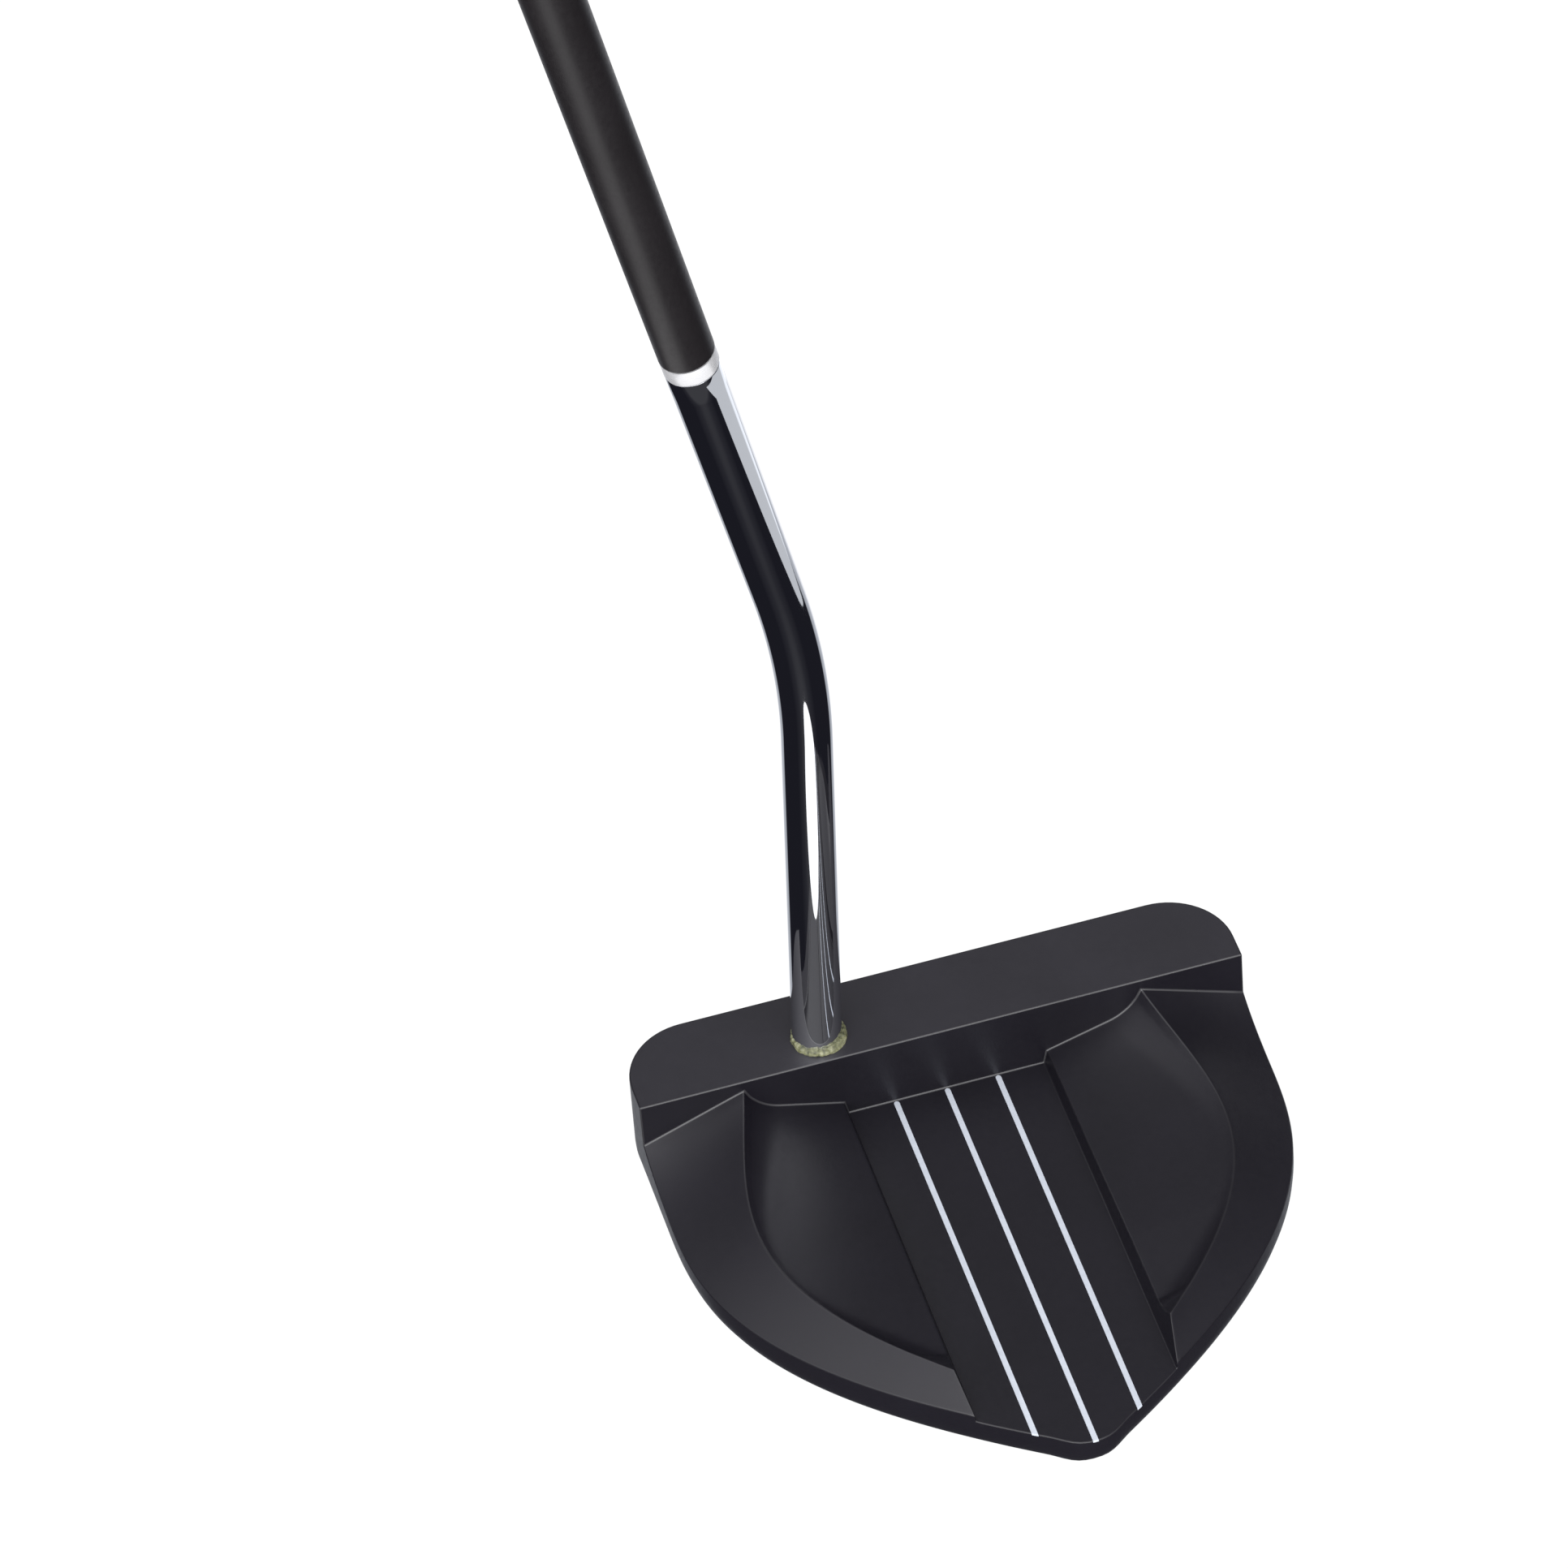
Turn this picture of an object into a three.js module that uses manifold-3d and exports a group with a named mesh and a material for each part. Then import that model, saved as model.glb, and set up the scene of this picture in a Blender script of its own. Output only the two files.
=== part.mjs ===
// Mallet putter: a one-piece milled head with three alignment lines, a bent chromed
// lower shaft, a silver coupling, a tapered black upper shaft and a pistol grip.
//
// Millimetres. +Z up, +X towards the toe, +Y towards the ball (the face side).
// The origin is the centre of the flat on the sole. The club is right-handed.

import * as THREE from "three";
import { mergeVertices } from "three/addons/utils/BufferGeometryUtils.js";
import Module from "manifold-3d";

const wasm = await Module();
wasm.setup();

// ---- Driving dimensions -------------------------------------------------------------

const GAP = 0.3; // clearance between separate pieces

// Head, all heights above the sole
const HEAD_HALF_WIDTH = 58.4;
const BAR_TOP = 25;
const BAR_DEPTH = 18.4; // front to back, at the top
const BAR_REAR_Y = 37; // the bar's rear wall
const BAR_CORNER_RADIUS = 13;
const FACE_LOFT = THREE.MathUtils.degToRad(3);
const HEAD_LENGTH_BEHIND_BAR = 92;
const SOLE_EDGE_HEIGHT = 8; // where the rounded sole edge meets the skirt
const SOLE_EDGE_INSET_REAR = 8;
const SOLE_EDGE_INSET_FACE = 2.5;

// Channel down the middle
const CHANNEL_FLOOR = 9.8;
const CHANNEL_HALF_WIDTH = 19.1;
const CHANNEL_DRAFT = 0.21; // sideways run of each wall per unit of height

// Ridge round each pocket, and the rim that falls away outside it
const RIDGE_TOP = 22.7; // where it meets the bar
const RIDGE_FALL = 6.8;
const RIDGE_FALL_LENGTH = 24;
const RIM_TOP = 14.9; // outer edge of the rim, where it meets the bar
const RIM_FALL = 4.6;
const RIM_FALL_LENGTH = 9;
const RIM_RISE = 0.018; // slow rise towards the back
const RIM_RISE_START = 30;
const POCKET_FLOOR = 12.6;
const POCKET_RISE = 0.02; // rise of the pocket floor per millimetre towards the back
const POCKET_RISE_END = 50;
const POCKET_SIDE_SLOPE = 0.14; // rise of the pocket floor towards the ridge
const POCKET_BAR_SLOPE = 0.3; // the same, beside the bar
const POCKET_SLOPE_LENGTH = 10;
const COVE_RADIUS = 7;

// Alignment lines
const LINE_PITCH = 9.9;
const LINE_WIDTH = 1.07;
const LINE_THICKNESS = 0.5;
const LINE_GROOVE_DEPTH = LINE_THICKNESS + GAP;

// Shaft
const SHAFT_X = -22.2; // where its axis meets the top of the bar
const SHAFT_Y = BAR_REAR_Y + 7.05;
const TIP_RADIUS = 4.7;
const STEEL_WALL = 0.6;
const TIP_DEPTH = 18; // length inside the head
const BORE_DEPTH = 19;
const LOWER_LEAN = 0.036; // the lower shaft leans this much towards the toe
const BEND_HEIGHT = 95.7; // above the top of the bar
const BEND_RADIUS = 160;
const LIE = THREE.MathUtils.degToRad(78.6);
const COUPLING_START = 78.8; // along the upper axis, from the bend's corner
const COUPLING_LENGTH = 3.2;
const COUPLING_RADIUS = 5.06;
const SPIGOT_LENGTH = 18;
const SPIGOT_WALL = 0.9;
const STEEL_END_RADIUS = 5.0;
const CARBON_START_RADIUS = 5.12;
const CARBON_END_RADIUS = 7.6;
const CARBON_WALL = 1.2;
const BUTT = 745; // butt end, along the upper axis

// Grip
const GRIP_LENGTH = 267;
const TAPE_THICKNESS = 0.3;
const CAP_THICKNESS = 4;
// Share of the length, half width, distance to the flat, depth of the palm side
const GRIP_SECTIONS = [
  [0.0, 9.0, 8.9, 9.0],
  [0.04, 9.6, 9.2, 9.8],
  [0.3, 10.6, 9.6, 11.4],
  [0.55, 11.5, 9.9, 12.6],
  [0.75, 12.2, 10.2, 13.2],
  [0.87, 12.7, 10.6, 15.2],
  [0.95, 13.0, 10.9, 17.0],
  [1.0, 12.9, 10.9, 16.8],
];

// Face insert and sole weights
const INSERT_HALF_LENGTH = 37;
const INSERT_HEIGHT = 14.4;
const INSERT_MIDDLE = 14;
const INSERT_THICKNESS = 4.2;
const INSERT_TAPE_THICKNESS = 0.5;
const WEIGHT_X = 42;
const WEIGHT_Y = 39;
const WEIGHT_RADIUS = 8;
const WEIGHT_THICKNESS = 5.5;
const WEIGHT_SOCKET_RADIUS = 2.9;
const WEIGHT_SOCKET_DEPTH = 2.8;

// Adhesive bead at the foot of the shaft
const BEAD_RADIUS = 5.9;
const BEAD_HEIGHT = 1.1;

// Facets
const ROUND_STEPS = 32;
const GRIP_STEPS = 28;
const OUTLINE_STEPS = 14;

// ---- Materials ----------------------------------------------------------------------

function material(color, roughness, metalness) {
  return new THREE.MeshStandardMaterial({ color, roughness, metalness });
}

const anodisedBlack = material(0x26252a, 0.48, 0.7);
const whitePaint = material(0xdfe6f0, 0.45, 0);
const chrome = material(0xe4e6ea, 0.06, 1);
const satinSilver = material(0xc4c6ca, 0.3, 1);
const carbonBlack = material(0x2a2829, 0.5, 0.1);
const blackRubber = material(0x1b1b1c, 0.85, 0);
const paperTape = material(0xd8d0b4, 0.8, 0);
const foamTape = material(0xe8e8e4, 0.7, 0);
const polymer = material(0x2f3033, 0.55, 0);
const steelWeight = material(0x8f9296, 0.35, 1);
const epoxy = material(0xb9b878, 0.25, 0);

// ---- Solids -------------------------------------------------------------------------

function toManifold(geometry) {
  const bare = geometry.clone();
  bare.deleteAttribute("normal");
  bare.deleteAttribute("uv");
  const merged = mergeVertices(bare, 1e-5);
  return new wasm.Manifold(
    new wasm.Mesh({
      numProp: 3,
      vertProperties: new Float32Array(merged.attributes.position.array),
      triVerts: new Uint32Array(merged.index.array),
    }),
  );
}

function toGeometry(solid) {
  const mesh = solid.getMesh();
  const geometry = new THREE.BufferGeometry();
  geometry.setAttribute("position", new THREE.BufferAttribute(mesh.vertProperties, 3));
  geometry.setIndex(new THREE.BufferAttribute(mesh.triVerts, 1));
  geometry.computeVertexNormals();
  return geometry;
}

function cut(base, ...tools) {
  let solid = toManifold(base);
  for (const tool of tools) {
    solid = solid.subtract(toManifold(tool));
  }
  return toGeometry(solid);
}

// A geometry from points and triangles, turned so that its faces point out.
function closedGeometry(points, triangles) {
  let volume = 0;
  for (const [a, b, c] of triangles) {
    volume += points[a].dot(points[b].clone().cross(points[c]));
  }
  const index = [];
  for (const [a, b, c] of triangles) {
    const flat = points[a].equals(points[b]) || points[b].equals(points[c]) || points[a].equals(points[c]);
    if (!flat) {
      index.push(...(volume > 0 ? [a, b, c] : [a, c, b]));
    }
  }
  const geometry = new THREE.BufferGeometry().setFromPoints(points);
  geometry.setIndex(index);
  return geometry;
}

// The quads between each ring and the next, for rings of equal length.
function bandTriangles(ringCount, steps, start = 0) {
  const triangles = [];
  for (let ring = 0; ring < ringCount - 1; ring += 1) {
    for (let step = 0; step < steps; step += 1) {
      const a = start + ring * steps + step;
      const b = start + ring * steps + ((step + 1) % steps);
      triangles.push([a, b, b + steps], [a, b + steps, a + steps]);
    }
  }
  return triangles;
}

function centreOf(ring) {
  const centre = new THREE.Vector3();
  ring.forEach((point) => centre.add(point));
  return centre.divideScalar(ring.length);
}

// A solid skinned over closed rings, with a fan over each end.
function loft(rings) {
  const steps = rings[0].length;
  const points = rings.flat();
  const triangles = bandTriangles(rings.length, steps);
  const lastRing = (rings.length - 1) * steps;
  const first = points.push(centreOf(rings[0])) - 1;
  const last = points.push(centreOf(rings[rings.length - 1])) - 1;
  for (let step = 0; step < steps; step += 1) {
    const next = (step + 1) % steps;
    triangles.push([first, next, step], [last, lastRing + step, lastRing + next]);
  }
  return closedGeometry(points, triangles);
}

// An open-ended sleeve: the outer rings, then back along the inner rings.
function sleeve(outerRings, innerRings) {
  const loop = [...outerRings, ...innerRings.slice().reverse()];
  loop.push(loop[0]);
  const steps = loop[0].length;
  return closedGeometry(loop.flat(), bandTriangles(loop.length, steps));
}

// A solid that stands on the surface heightAt over a grid of plan points.
function prismAbove(plan, heightAt, top) {
  const columns = plan.length;
  const rows = plan[0].length;
  const points = [];
  for (const column of plan) {
    for (const point of column) {
      points.push(new THREE.Vector3(point.x, point.y, heightAt(point.x, point.y)));
    }
  }
  const count = points.length;
  for (let index = 0; index < count; index += 1) {
    points.push(new THREE.Vector3(points[index].x, points[index].y, top));
  }
  const triangles = [];
  const at = (column, row) => column * rows + row;
  for (let column = 0; column < columns - 1; column += 1) {
    for (let row = 0; row < rows - 1; row += 1) {
      const quad = [at(column, row), at(column + 1, row), at(column + 1, row + 1), at(column, row + 1)];
      const [a, b, c, d] = quad;
      triangles.push([a, c, b], [a, d, c]);
      triangles.push([a + count, b + count, c + count], [a + count, c + count, d + count]);
    }
  }
  const border = [];
  for (let column = 0; column < columns - 1; column += 1) {
    border.push([at(column, 0), at(column + 1, 0)]);
    border.push([at(column + 1, rows - 1), at(column, rows - 1)]);
  }
  for (let row = 0; row < rows - 1; row += 1) {
    border.push([at(columns - 1, row), at(columns - 1, row + 1)]);
    border.push([at(0, row + 1), at(0, row)]);
  }
  for (const [a, b] of border) {
    triangles.push([a, b, b + count], [a, b + count, a + count]);
  }
  return closedGeometry(points, triangles);
}

function cylinder(radius, length) {
  const geometry = new THREE.CylinderGeometry(radius, radius, length, ROUND_STEPS);
  return geometry.rotateX(Math.PI / 2);
}

// ---- Head: outline and surfaces -----------------------------------------------------

// The toe half of the plan outline, from the middle of the face round to the apex.
function halfOutline() {
  const width = HEAD_HALF_WIDTH;
  const faceY = BAR_REAR_Y + BAR_DEPTH;
  const apexY = BAR_REAR_Y - HEAD_LENGTH_BEHIND_BAR;
  const corner = BAR_CORNER_RADIUS;
  const path = new THREE.Path();
  path.moveTo(0, faceY);
  path.lineTo(width - corner, faceY);
  path.absarc(width - corner, faceY - corner, corner, Math.PI / 2, 0, true);
  path.lineTo(width, BAR_REAR_Y);
  path.lineTo(width, BAR_REAR_Y - 15);
  path.bezierCurveTo(width, BAR_REAR_Y - 33, width - 0.8, BAR_REAR_Y - 56, 8, apexY + 3.8);
  path.bezierCurveTo(4.8, apexY + 1.6, 3.8, apexY, 0, apexY);
  return path.getPoints(OUTLINE_STEPS);
}

function headOutline() {
  const toeHalf = halfOutline();
  const heelHalf = toeHalf
    .slice(1, -1)
    .reverse()
    .map((point) => new THREE.Vector2(-point.x, point.y));
  return [...toeHalf, ...heelHalf];
}

// How far behind the bar's rear wall a point lies.
function behindBar(y) {
  return Math.max(0, BAR_REAR_Y - y);
}

function rimHeight(y) {
  const back = behindBar(y);
  const fall = RIM_FALL * (1 - Math.exp(-back / RIM_FALL_LENGTH));
  return RIM_TOP - fall + RIM_RISE * Math.max(0, back - RIM_RISE_START);
}

function ridgeHeight(y) {
  return RIDGE_TOP - RIDGE_FALL * (1 - Math.exp(-behindBar(y) / RIDGE_FALL_LENGTH));
}

function pocketFloorHeight(x, y) {
  const steepness = Math.exp(-behindBar(y) / POCKET_SLOPE_LENGTH);
  const slope = POCKET_SIDE_SLOPE + (POCKET_BAR_SLOPE - POCKET_SIDE_SLOPE) * steepness;
  const sideways = slope * Math.max(0, x - CHANNEL_HALF_WIDTH);
  return POCKET_FLOOR + POCKET_RISE * Math.min(behindBar(y), POCKET_RISE_END) + sideways;
}

// The ridge on the toe side, carried on a little way into the channel.
const ridgeCurve = new THREE.CubicBezierCurve(
  new THREE.Vector2(38.5, BAR_REAR_Y),
  new THREE.Vector2(45.6, BAR_REAR_Y - 24.2),
  new THREE.Vector2(54.9, BAR_REAR_Y - 41),
  new THREE.Vector2(18, BAR_REAR_Y - 75),
);
const RIDGE_STEPS = 26;
const ridgePoints = ridgeCurve.getPoints(RIDGE_STEPS);

function nearestOnRidge(x, y) {
  let best = { distance: Infinity, x, y };
  for (let step = 0; step < RIDGE_STEPS; step += 1) {
    const start = ridgePoints[step];
    const along = ridgePoints[step + 1].clone().sub(start);
    const reach = new THREE.Vector2(x, y).sub(start);
    const share = THREE.MathUtils.clamp(reach.dot(along) / along.lengthSq(), 0, 1);
    const foot = start.clone().addScaledVector(along, share);
    const distance = Math.hypot(x - foot.x, y - foot.y);
    if (distance < best.distance) {
      best = { distance, x: foot.x, y: foot.y };
    }
  }
  return best;
}

// The floor inside the ridge: a gentle slope, with a round cove up to the ridge.
function pocketHeight(x, y) {
  const nearest = nearestOnRidge(x, y);
  const floor = pocketFloorHeight(x, y);
  const foot = pocketFloorHeight(nearest.x, nearest.y);
  const rise = THREE.MathUtils.clamp(ridgeHeight(nearest.y) - foot, 0, COVE_RADIUS);
  const coveWidth = Math.sqrt(COVE_RADIUS ** 2 - (COVE_RADIUS - rise) ** 2);
  const into = Math.max(0, coveWidth - nearest.distance);
  return floor + COVE_RADIUS - Math.sqrt(COVE_RADIUS ** 2 - into ** 2);
}

// What is cut away above one pocket and its rim. side is 1 at the toe, -1 at the heel.
function sideCutter(side) {
  const outline = halfOutline().filter((point) => point.y <= BAR_REAR_Y);
  const outer = new THREE.SplineCurve(outline);
  const innerCorner = new THREE.Vector2(18, BAR_REAR_Y);
  const pocketSteps = 9;
  const rimOverrun = 1.5; // the rim's slope runs on past the outline
  const heights = new Map();
  const plan = ridgePoints.map((ridge, index) => {
    const share = index / RIDGE_STEPS;
    const edge = outer.getPoint(share * 0.86);
    const column = [];
    for (let step = 0; step <= pocketSteps; step += 1) {
      const eased = 1 - (1 - step / pocketSteps) ** 1.3;
      column.push(innerCorner.clone().lerp(ridge, eased));
    }
    for (const point of column) {
      heights.set(point, pocketHeight(point.x, point.y));
    }
    const beyond = ridge.clone().lerp(edge, rimOverrun);
    const slope = rimHeight(edge.y) - ridgeHeight(ridge.y);
    heights.set(beyond, ridgeHeight(ridge.y) + slope * rimOverrun);
    column.push(beyond);
    return column;
  });
  const heightByPlace = new Map();
  for (const [point, height] of heights) {
    heightByPlace.set(`${side * point.x},${point.y}`, height);
  }
  const placed = plan.map((column) => column.map((point) => new THREE.Vector2(side * point.x, point.y)));
  return prismAbove(placed, (x, y) => heightByPlace.get(`${x},${y}`), BAR_TOP + 10);
}

// The block that the head is cut from: upright sides, a rounded sole edge, a lofted face.
function headBlock() {
  const outline = headOutline();
  const middle = new THREE.Vector2(0, 5);
  const levels = [0, 0.25, 0.5, 0.75, 1].map((share) => (share * Math.PI) / 2);
  const sole = levels.map((angle) => ({
    z: SOLE_EDGE_HEIGHT * (1 - Math.cos(angle)),
    inset: 1 - Math.sin(angle),
  }));
  const rings = [...sole, { z: BAR_TOP, inset: 0 }].map(({ z, inset }) =>
    outline.map((point) => {
      const frontShare = THREE.MathUtils.clamp((point.y - BAR_REAR_Y) / BAR_DEPTH, 0, 1);
      const depth = THREE.MathUtils.lerp(SOLE_EDGE_INSET_REAR, SOLE_EDGE_INSET_FACE, frontShare);
      const reach = point.clone().sub(middle);
      reach.setLength(reach.length() - depth * inset);
      const loft = frontShare * (BAR_TOP - z) * Math.tan(FACE_LOFT);
      return new THREE.Vector3(middle.x + reach.x, middle.y + reach.y + loft, z);
    }),
  );
  return loft(rings);
}

function channelCutter() {
  const height = BAR_TOP + 5 - CHANNEL_FLOOR;
  const topHalfWidth = CHANNEL_HALF_WIDTH + CHANNEL_DRAFT * height;
  const section = new THREE.Shape([
    new THREE.Vector2(-CHANNEL_HALF_WIDTH, 0),
    new THREE.Vector2(CHANNEL_HALF_WIDTH, 0),
    new THREE.Vector2(topHalfWidth, height),
    new THREE.Vector2(-topHalfWidth, height),
  ]);
  const length = HEAD_LENGTH_BEHIND_BAR + 10;
  const geometry = new THREE.ExtrudeGeometry(section, { depth: length, bevelEnabled: false });
  geometry.rotateX(Math.PI / 2);
  return geometry.translate(0, BAR_REAR_Y, CHANNEL_FLOOR);
}

function lineBox(index, width, thickness, top, overrun) {
  const x = index * LINE_PITCH;
  const front = BAR_REAR_Y - 0.5;
  const back = BAR_REAR_Y - HEAD_LENGTH_BEHIND_BAR * (1 - 0.055 * Math.abs(index)) - overrun;
  const geometry = new THREE.BoxGeometry(width, front - back, thickness);
  return geometry.translate(x, (front + back) / 2, top - thickness / 2);
}

// ---- Head: pieces let into it -------------------------------------------------------

function roundEndedPlate(halfLength, height, thickness) {
  const radius = height / 2;
  const shape = new THREE.Shape();
  shape.absarc(halfLength - radius, 0, radius, -Math.PI / 2, Math.PI / 2, false);
  shape.absarc(-halfLength + radius, 0, radius, Math.PI / 2, (3 * Math.PI) / 2, false);
  return new THREE.ExtrudeGeometry(shape, { depth: thickness, bevelEnabled: false, curveSegments: 10 });
}

// A plate set into the face, its front sunk below the face by the given depth.
function facePlate(halfLength, height, thickness, sunk) {
  const geometry = roundEndedPlate(halfLength, height, thickness);
  geometry.translate(0, 0, -sunk - thickness);
  geometry.rotateX(FACE_LOFT - Math.PI / 2);
  const faceY = BAR_REAR_Y + BAR_DEPTH + (BAR_TOP - INSERT_MIDDLE) * Math.tan(FACE_LOFT);
  return geometry.translate(0, faceY, INSERT_MIDDLE);
}

function faceInsert() {
  return facePlate(INSERT_HALF_LENGTH, INSERT_HEIGHT, INSERT_THICKNESS, 0);
}

function insertTape() {
  const margin = 1;
  const sunk = INSERT_THICKNESS + GAP;
  return facePlate(INSERT_HALF_LENGTH - margin, INSERT_HEIGHT - 2 * margin, INSERT_TAPE_THICKNESS, sunk);
}

function insertPocket() {
  const depth = INSERT_THICKNESS + INSERT_TAPE_THICKNESS + 2 * GAP;
  const inFront = 3;
  return facePlate(INSERT_HALF_LENGTH + GAP, INSERT_HEIGHT + 2 * GAP, depth + inFront, -inFront);
}

function weightPocket(side) {
  const depth = WEIGHT_THICKNESS + 2 * GAP;
  const below = 2;
  const geometry = cylinder(WEIGHT_RADIUS + GAP, depth + below);
  return geometry.translate(side * WEIGHT_X, WEIGHT_Y, (depth - below) / 2);
}

function soleWeight(side) {
  const body = cylinder(WEIGHT_RADIUS, WEIGHT_THICKNESS).translate(0, 0, GAP + WEIGHT_THICKNESS / 2);
  const socket = new THREE.CylinderGeometry(WEIGHT_SOCKET_RADIUS, WEIGHT_SOCKET_RADIUS, 4, 6);
  socket.rotateX(Math.PI / 2);
  socket.translate(0, 0, GAP + WEIGHT_SOCKET_DEPTH - 2);
  return cut(body, socket).translate(side * WEIGHT_X, WEIGHT_Y, 0);
}

function shaftBore() {
  const length = BORE_DEPTH + 10;
  const geometry = cylinder(TIP_RADIUS + GAP, length).translate(0, 0, length / 2 - BORE_DEPTH);
  geometry.rotateY(Math.atan(LOWER_LEAN));
  return geometry.translate(SHAFT_X, SHAFT_Y, BAR_TOP);
}

function headBody() {
  const grooves = [-1, 0, 1].map((index) =>
    lineBox(index, LINE_WIDTH + 2 * GAP, LINE_GROOVE_DEPTH + 1, CHANNEL_FLOOR + 1, 12),
  );
  return cut(
    headBlock(),
    sideCutter(1),
    sideCutter(-1),
    channelCutter(),
    ...grooves,
    insertPocket(),
    weightPocket(-1),
    weightPocket(1),
    shaftBore(),
  );
}

function alignmentLine(index) {
  const flushGap = 0.05;
  const geometry = lineBox(index, LINE_WIDTH, LINE_THICKNESS, CHANNEL_FLOOR - flushGap, 0);
  return geometry.translate(0, -GAP / 2, 0);
}

// ---- Shaft --------------------------------------------------------------------------

const lowerDirection = new THREE.Vector3(LOWER_LEAN, 0, 1).normalize();
const upperDirection = new THREE.Vector3(-Math.cos(LIE), 0, Math.sin(LIE));
const shaftFoot = new THREE.Vector3(SHAFT_X, SHAFT_Y, BAR_TOP);
const bendCorner = shaftFoot.clone().add(new THREE.Vector3(LOWER_LEAN, 0, 1).multiplyScalar(BEND_HEIGHT));
const bendAngle = lowerDirection.angleTo(upperDirection);
const bendReach = BEND_RADIUS * Math.tan(bendAngle / 2);

// A point on the shaft's axis and the axis's direction there, from the bend's corner:
// negative distances run down to the tip and positive ones up to the butt.
function shaftAxis(distance) {
  if (distance <= -bendReach) {
    return { point: bendCorner.clone().addScaledVector(lowerDirection, distance), direction: lowerDirection };
  }
  if (distance >= bendReach) {
    return { point: bendCorner.clone().addScaledVector(upperDirection, distance), direction: upperDirection };
  }
  const turned = ((distance + bendReach) / (2 * bendReach)) * bendAngle;
  const start = bendCorner.clone().addScaledVector(lowerDirection, -bendReach);
  const inward = new THREE.Vector3(-lowerDirection.z, 0, lowerDirection.x);
  const point = start
    .addScaledVector(lowerDirection, BEND_RADIUS * Math.sin(turned))
    .addScaledVector(inward, BEND_RADIUS * (1 - Math.cos(turned)));
  const direction = lowerDirection.clone().applyAxisAngle(new THREE.Vector3(0, -1, 0), turned);
  return { point, direction };
}

// A ring square to the shaft's axis. radiusAt gives its radius by the angle from the toe side.
function shaftRing(distance, radiusAt, steps) {
  const { point, direction } = shaftAxis(distance);
  const across = new THREE.Vector3(direction.z, 0, -direction.x);
  const forward = new THREE.Vector3(0, 1, 0);
  const ring = [];
  for (let step = 0; step < steps; step += 1) {
    const angle = (step / steps) * 2 * Math.PI;
    const radius = radiusAt(angle);
    const place = point.clone().addScaledVector(across, radius * Math.cos(angle));
    ring.push(place.addScaledVector(forward, radius * Math.sin(angle)));
  }
  return ring;
}

// A tube along the shaft's axis through stations of [distance, outer radius, inner radius].
function shaftTube(stations) {
  const outer = stations.map(([distance, radius]) => shaftRing(distance, () => radius, ROUND_STEPS));
  const inner = stations.map(([distance, , radius]) => shaftRing(distance, () => radius, ROUND_STEPS));
  return sleeve(outer, inner);
}

function carbonRadius(distance) {
  const start = COUPLING_START + COUPLING_LENGTH;
  return THREE.MathUtils.mapLinear(distance, start, BUTT, CARBON_START_RADIUS, CARBON_END_RADIUS);
}

function lowerShaft() {
  const footDistance = -shaftFoot.distanceTo(bendCorner);
  const stations = [[footDistance - TIP_DEPTH, TIP_RADIUS]];
  const bendSteps = 7;
  for (let step = 0; step <= bendSteps; step += 1) {
    stations.push([THREE.MathUtils.lerp(-bendReach, bendReach, step / bendSteps), TIP_RADIUS]);
  }
  stations.push([COUPLING_START - GAP, STEEL_END_RADIUS]);
  return shaftTube(stations.map(([distance, radius]) => [distance, radius, radius - STEEL_WALL]));
}

function shaftCoupling() {
  const end = COUPLING_START + COUPLING_LENGTH;
  const lowerSpigot = STEEL_END_RADIUS - STEEL_WALL - 2 * GAP;
  const upperSpigot = CARBON_START_RADIUS - CARBON_WALL - GAP;
  const hollow = Math.min(lowerSpigot, upperSpigot) - SPIGOT_WALL;
  return shaftTube([
    [COUPLING_START - SPIGOT_LENGTH, lowerSpigot, hollow],
    [COUPLING_START, lowerSpigot, hollow],
    [COUPLING_START, COUPLING_RADIUS, hollow],
    [end, COUPLING_RADIUS, hollow],
    [end, upperSpigot, hollow],
    [end + SPIGOT_LENGTH, upperSpigot, hollow],
  ]);
}

function upperShaft() {
  const start = COUPLING_START + COUPLING_LENGTH + GAP;
  const stations = [start, BUTT].map((distance) => {
    const radius = carbonRadius(distance);
    return [distance, radius, radius - CARBON_WALL];
  });
  return shaftTube(stations);
}

// The bead stands on the bar round the foot of the shaft.
function epoxyBead() {
  const inner = TIP_RADIUS + GAP;
  const profile = [
    [inner, GAP],
    [BEAD_RADIUS, GAP],
    [BEAD_RADIUS - 0.2, GAP + 0.5 * BEAD_HEIGHT],
    [inner + 0.3, GAP + BEAD_HEIGHT],
    [inner, GAP + BEAD_HEIGHT],
    [inner, GAP],
  ];
  const geometry = new THREE.LatheGeometry(
    profile.map(([radius, height]) => new THREE.Vector2(radius, height)),
    ROUND_STEPS,
  );
  geometry.rotateX(Math.PI / 2);
  geometry.rotateY(Math.atan(LOWER_LEAN));
  return geometry.translate(SHAFT_X, SHAFT_Y, BAR_TOP + 0.2);
}

// ---- Grip ---------------------------------------------------------------------------

const gripStart = BUTT - GRIP_LENGTH;

function gripTape() {
  const stations = [gripStart + 2, BUTT - 1].map((distance) => {
    const inner = carbonRadius(distance) + GAP;
    return [distance, inner + TAPE_THICKNESS, inner];
  });
  return shaftTube(stations);
}

// The grip's radius at an angle from its flat: squared off over the flat, round at the palm.
function gripRadius(angle, halfWidth, flat, palm) {
  const depth = Math.cos(angle) > 0 ? flat : palm;
  const power = Math.cos(angle) > 0 ? 4 : 2.2;
  const sum = Math.abs(Math.cos(angle) / depth) ** power + Math.abs(Math.sin(angle) / halfWidth) ** power;
  return sum ** (-1 / power);
}

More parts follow.
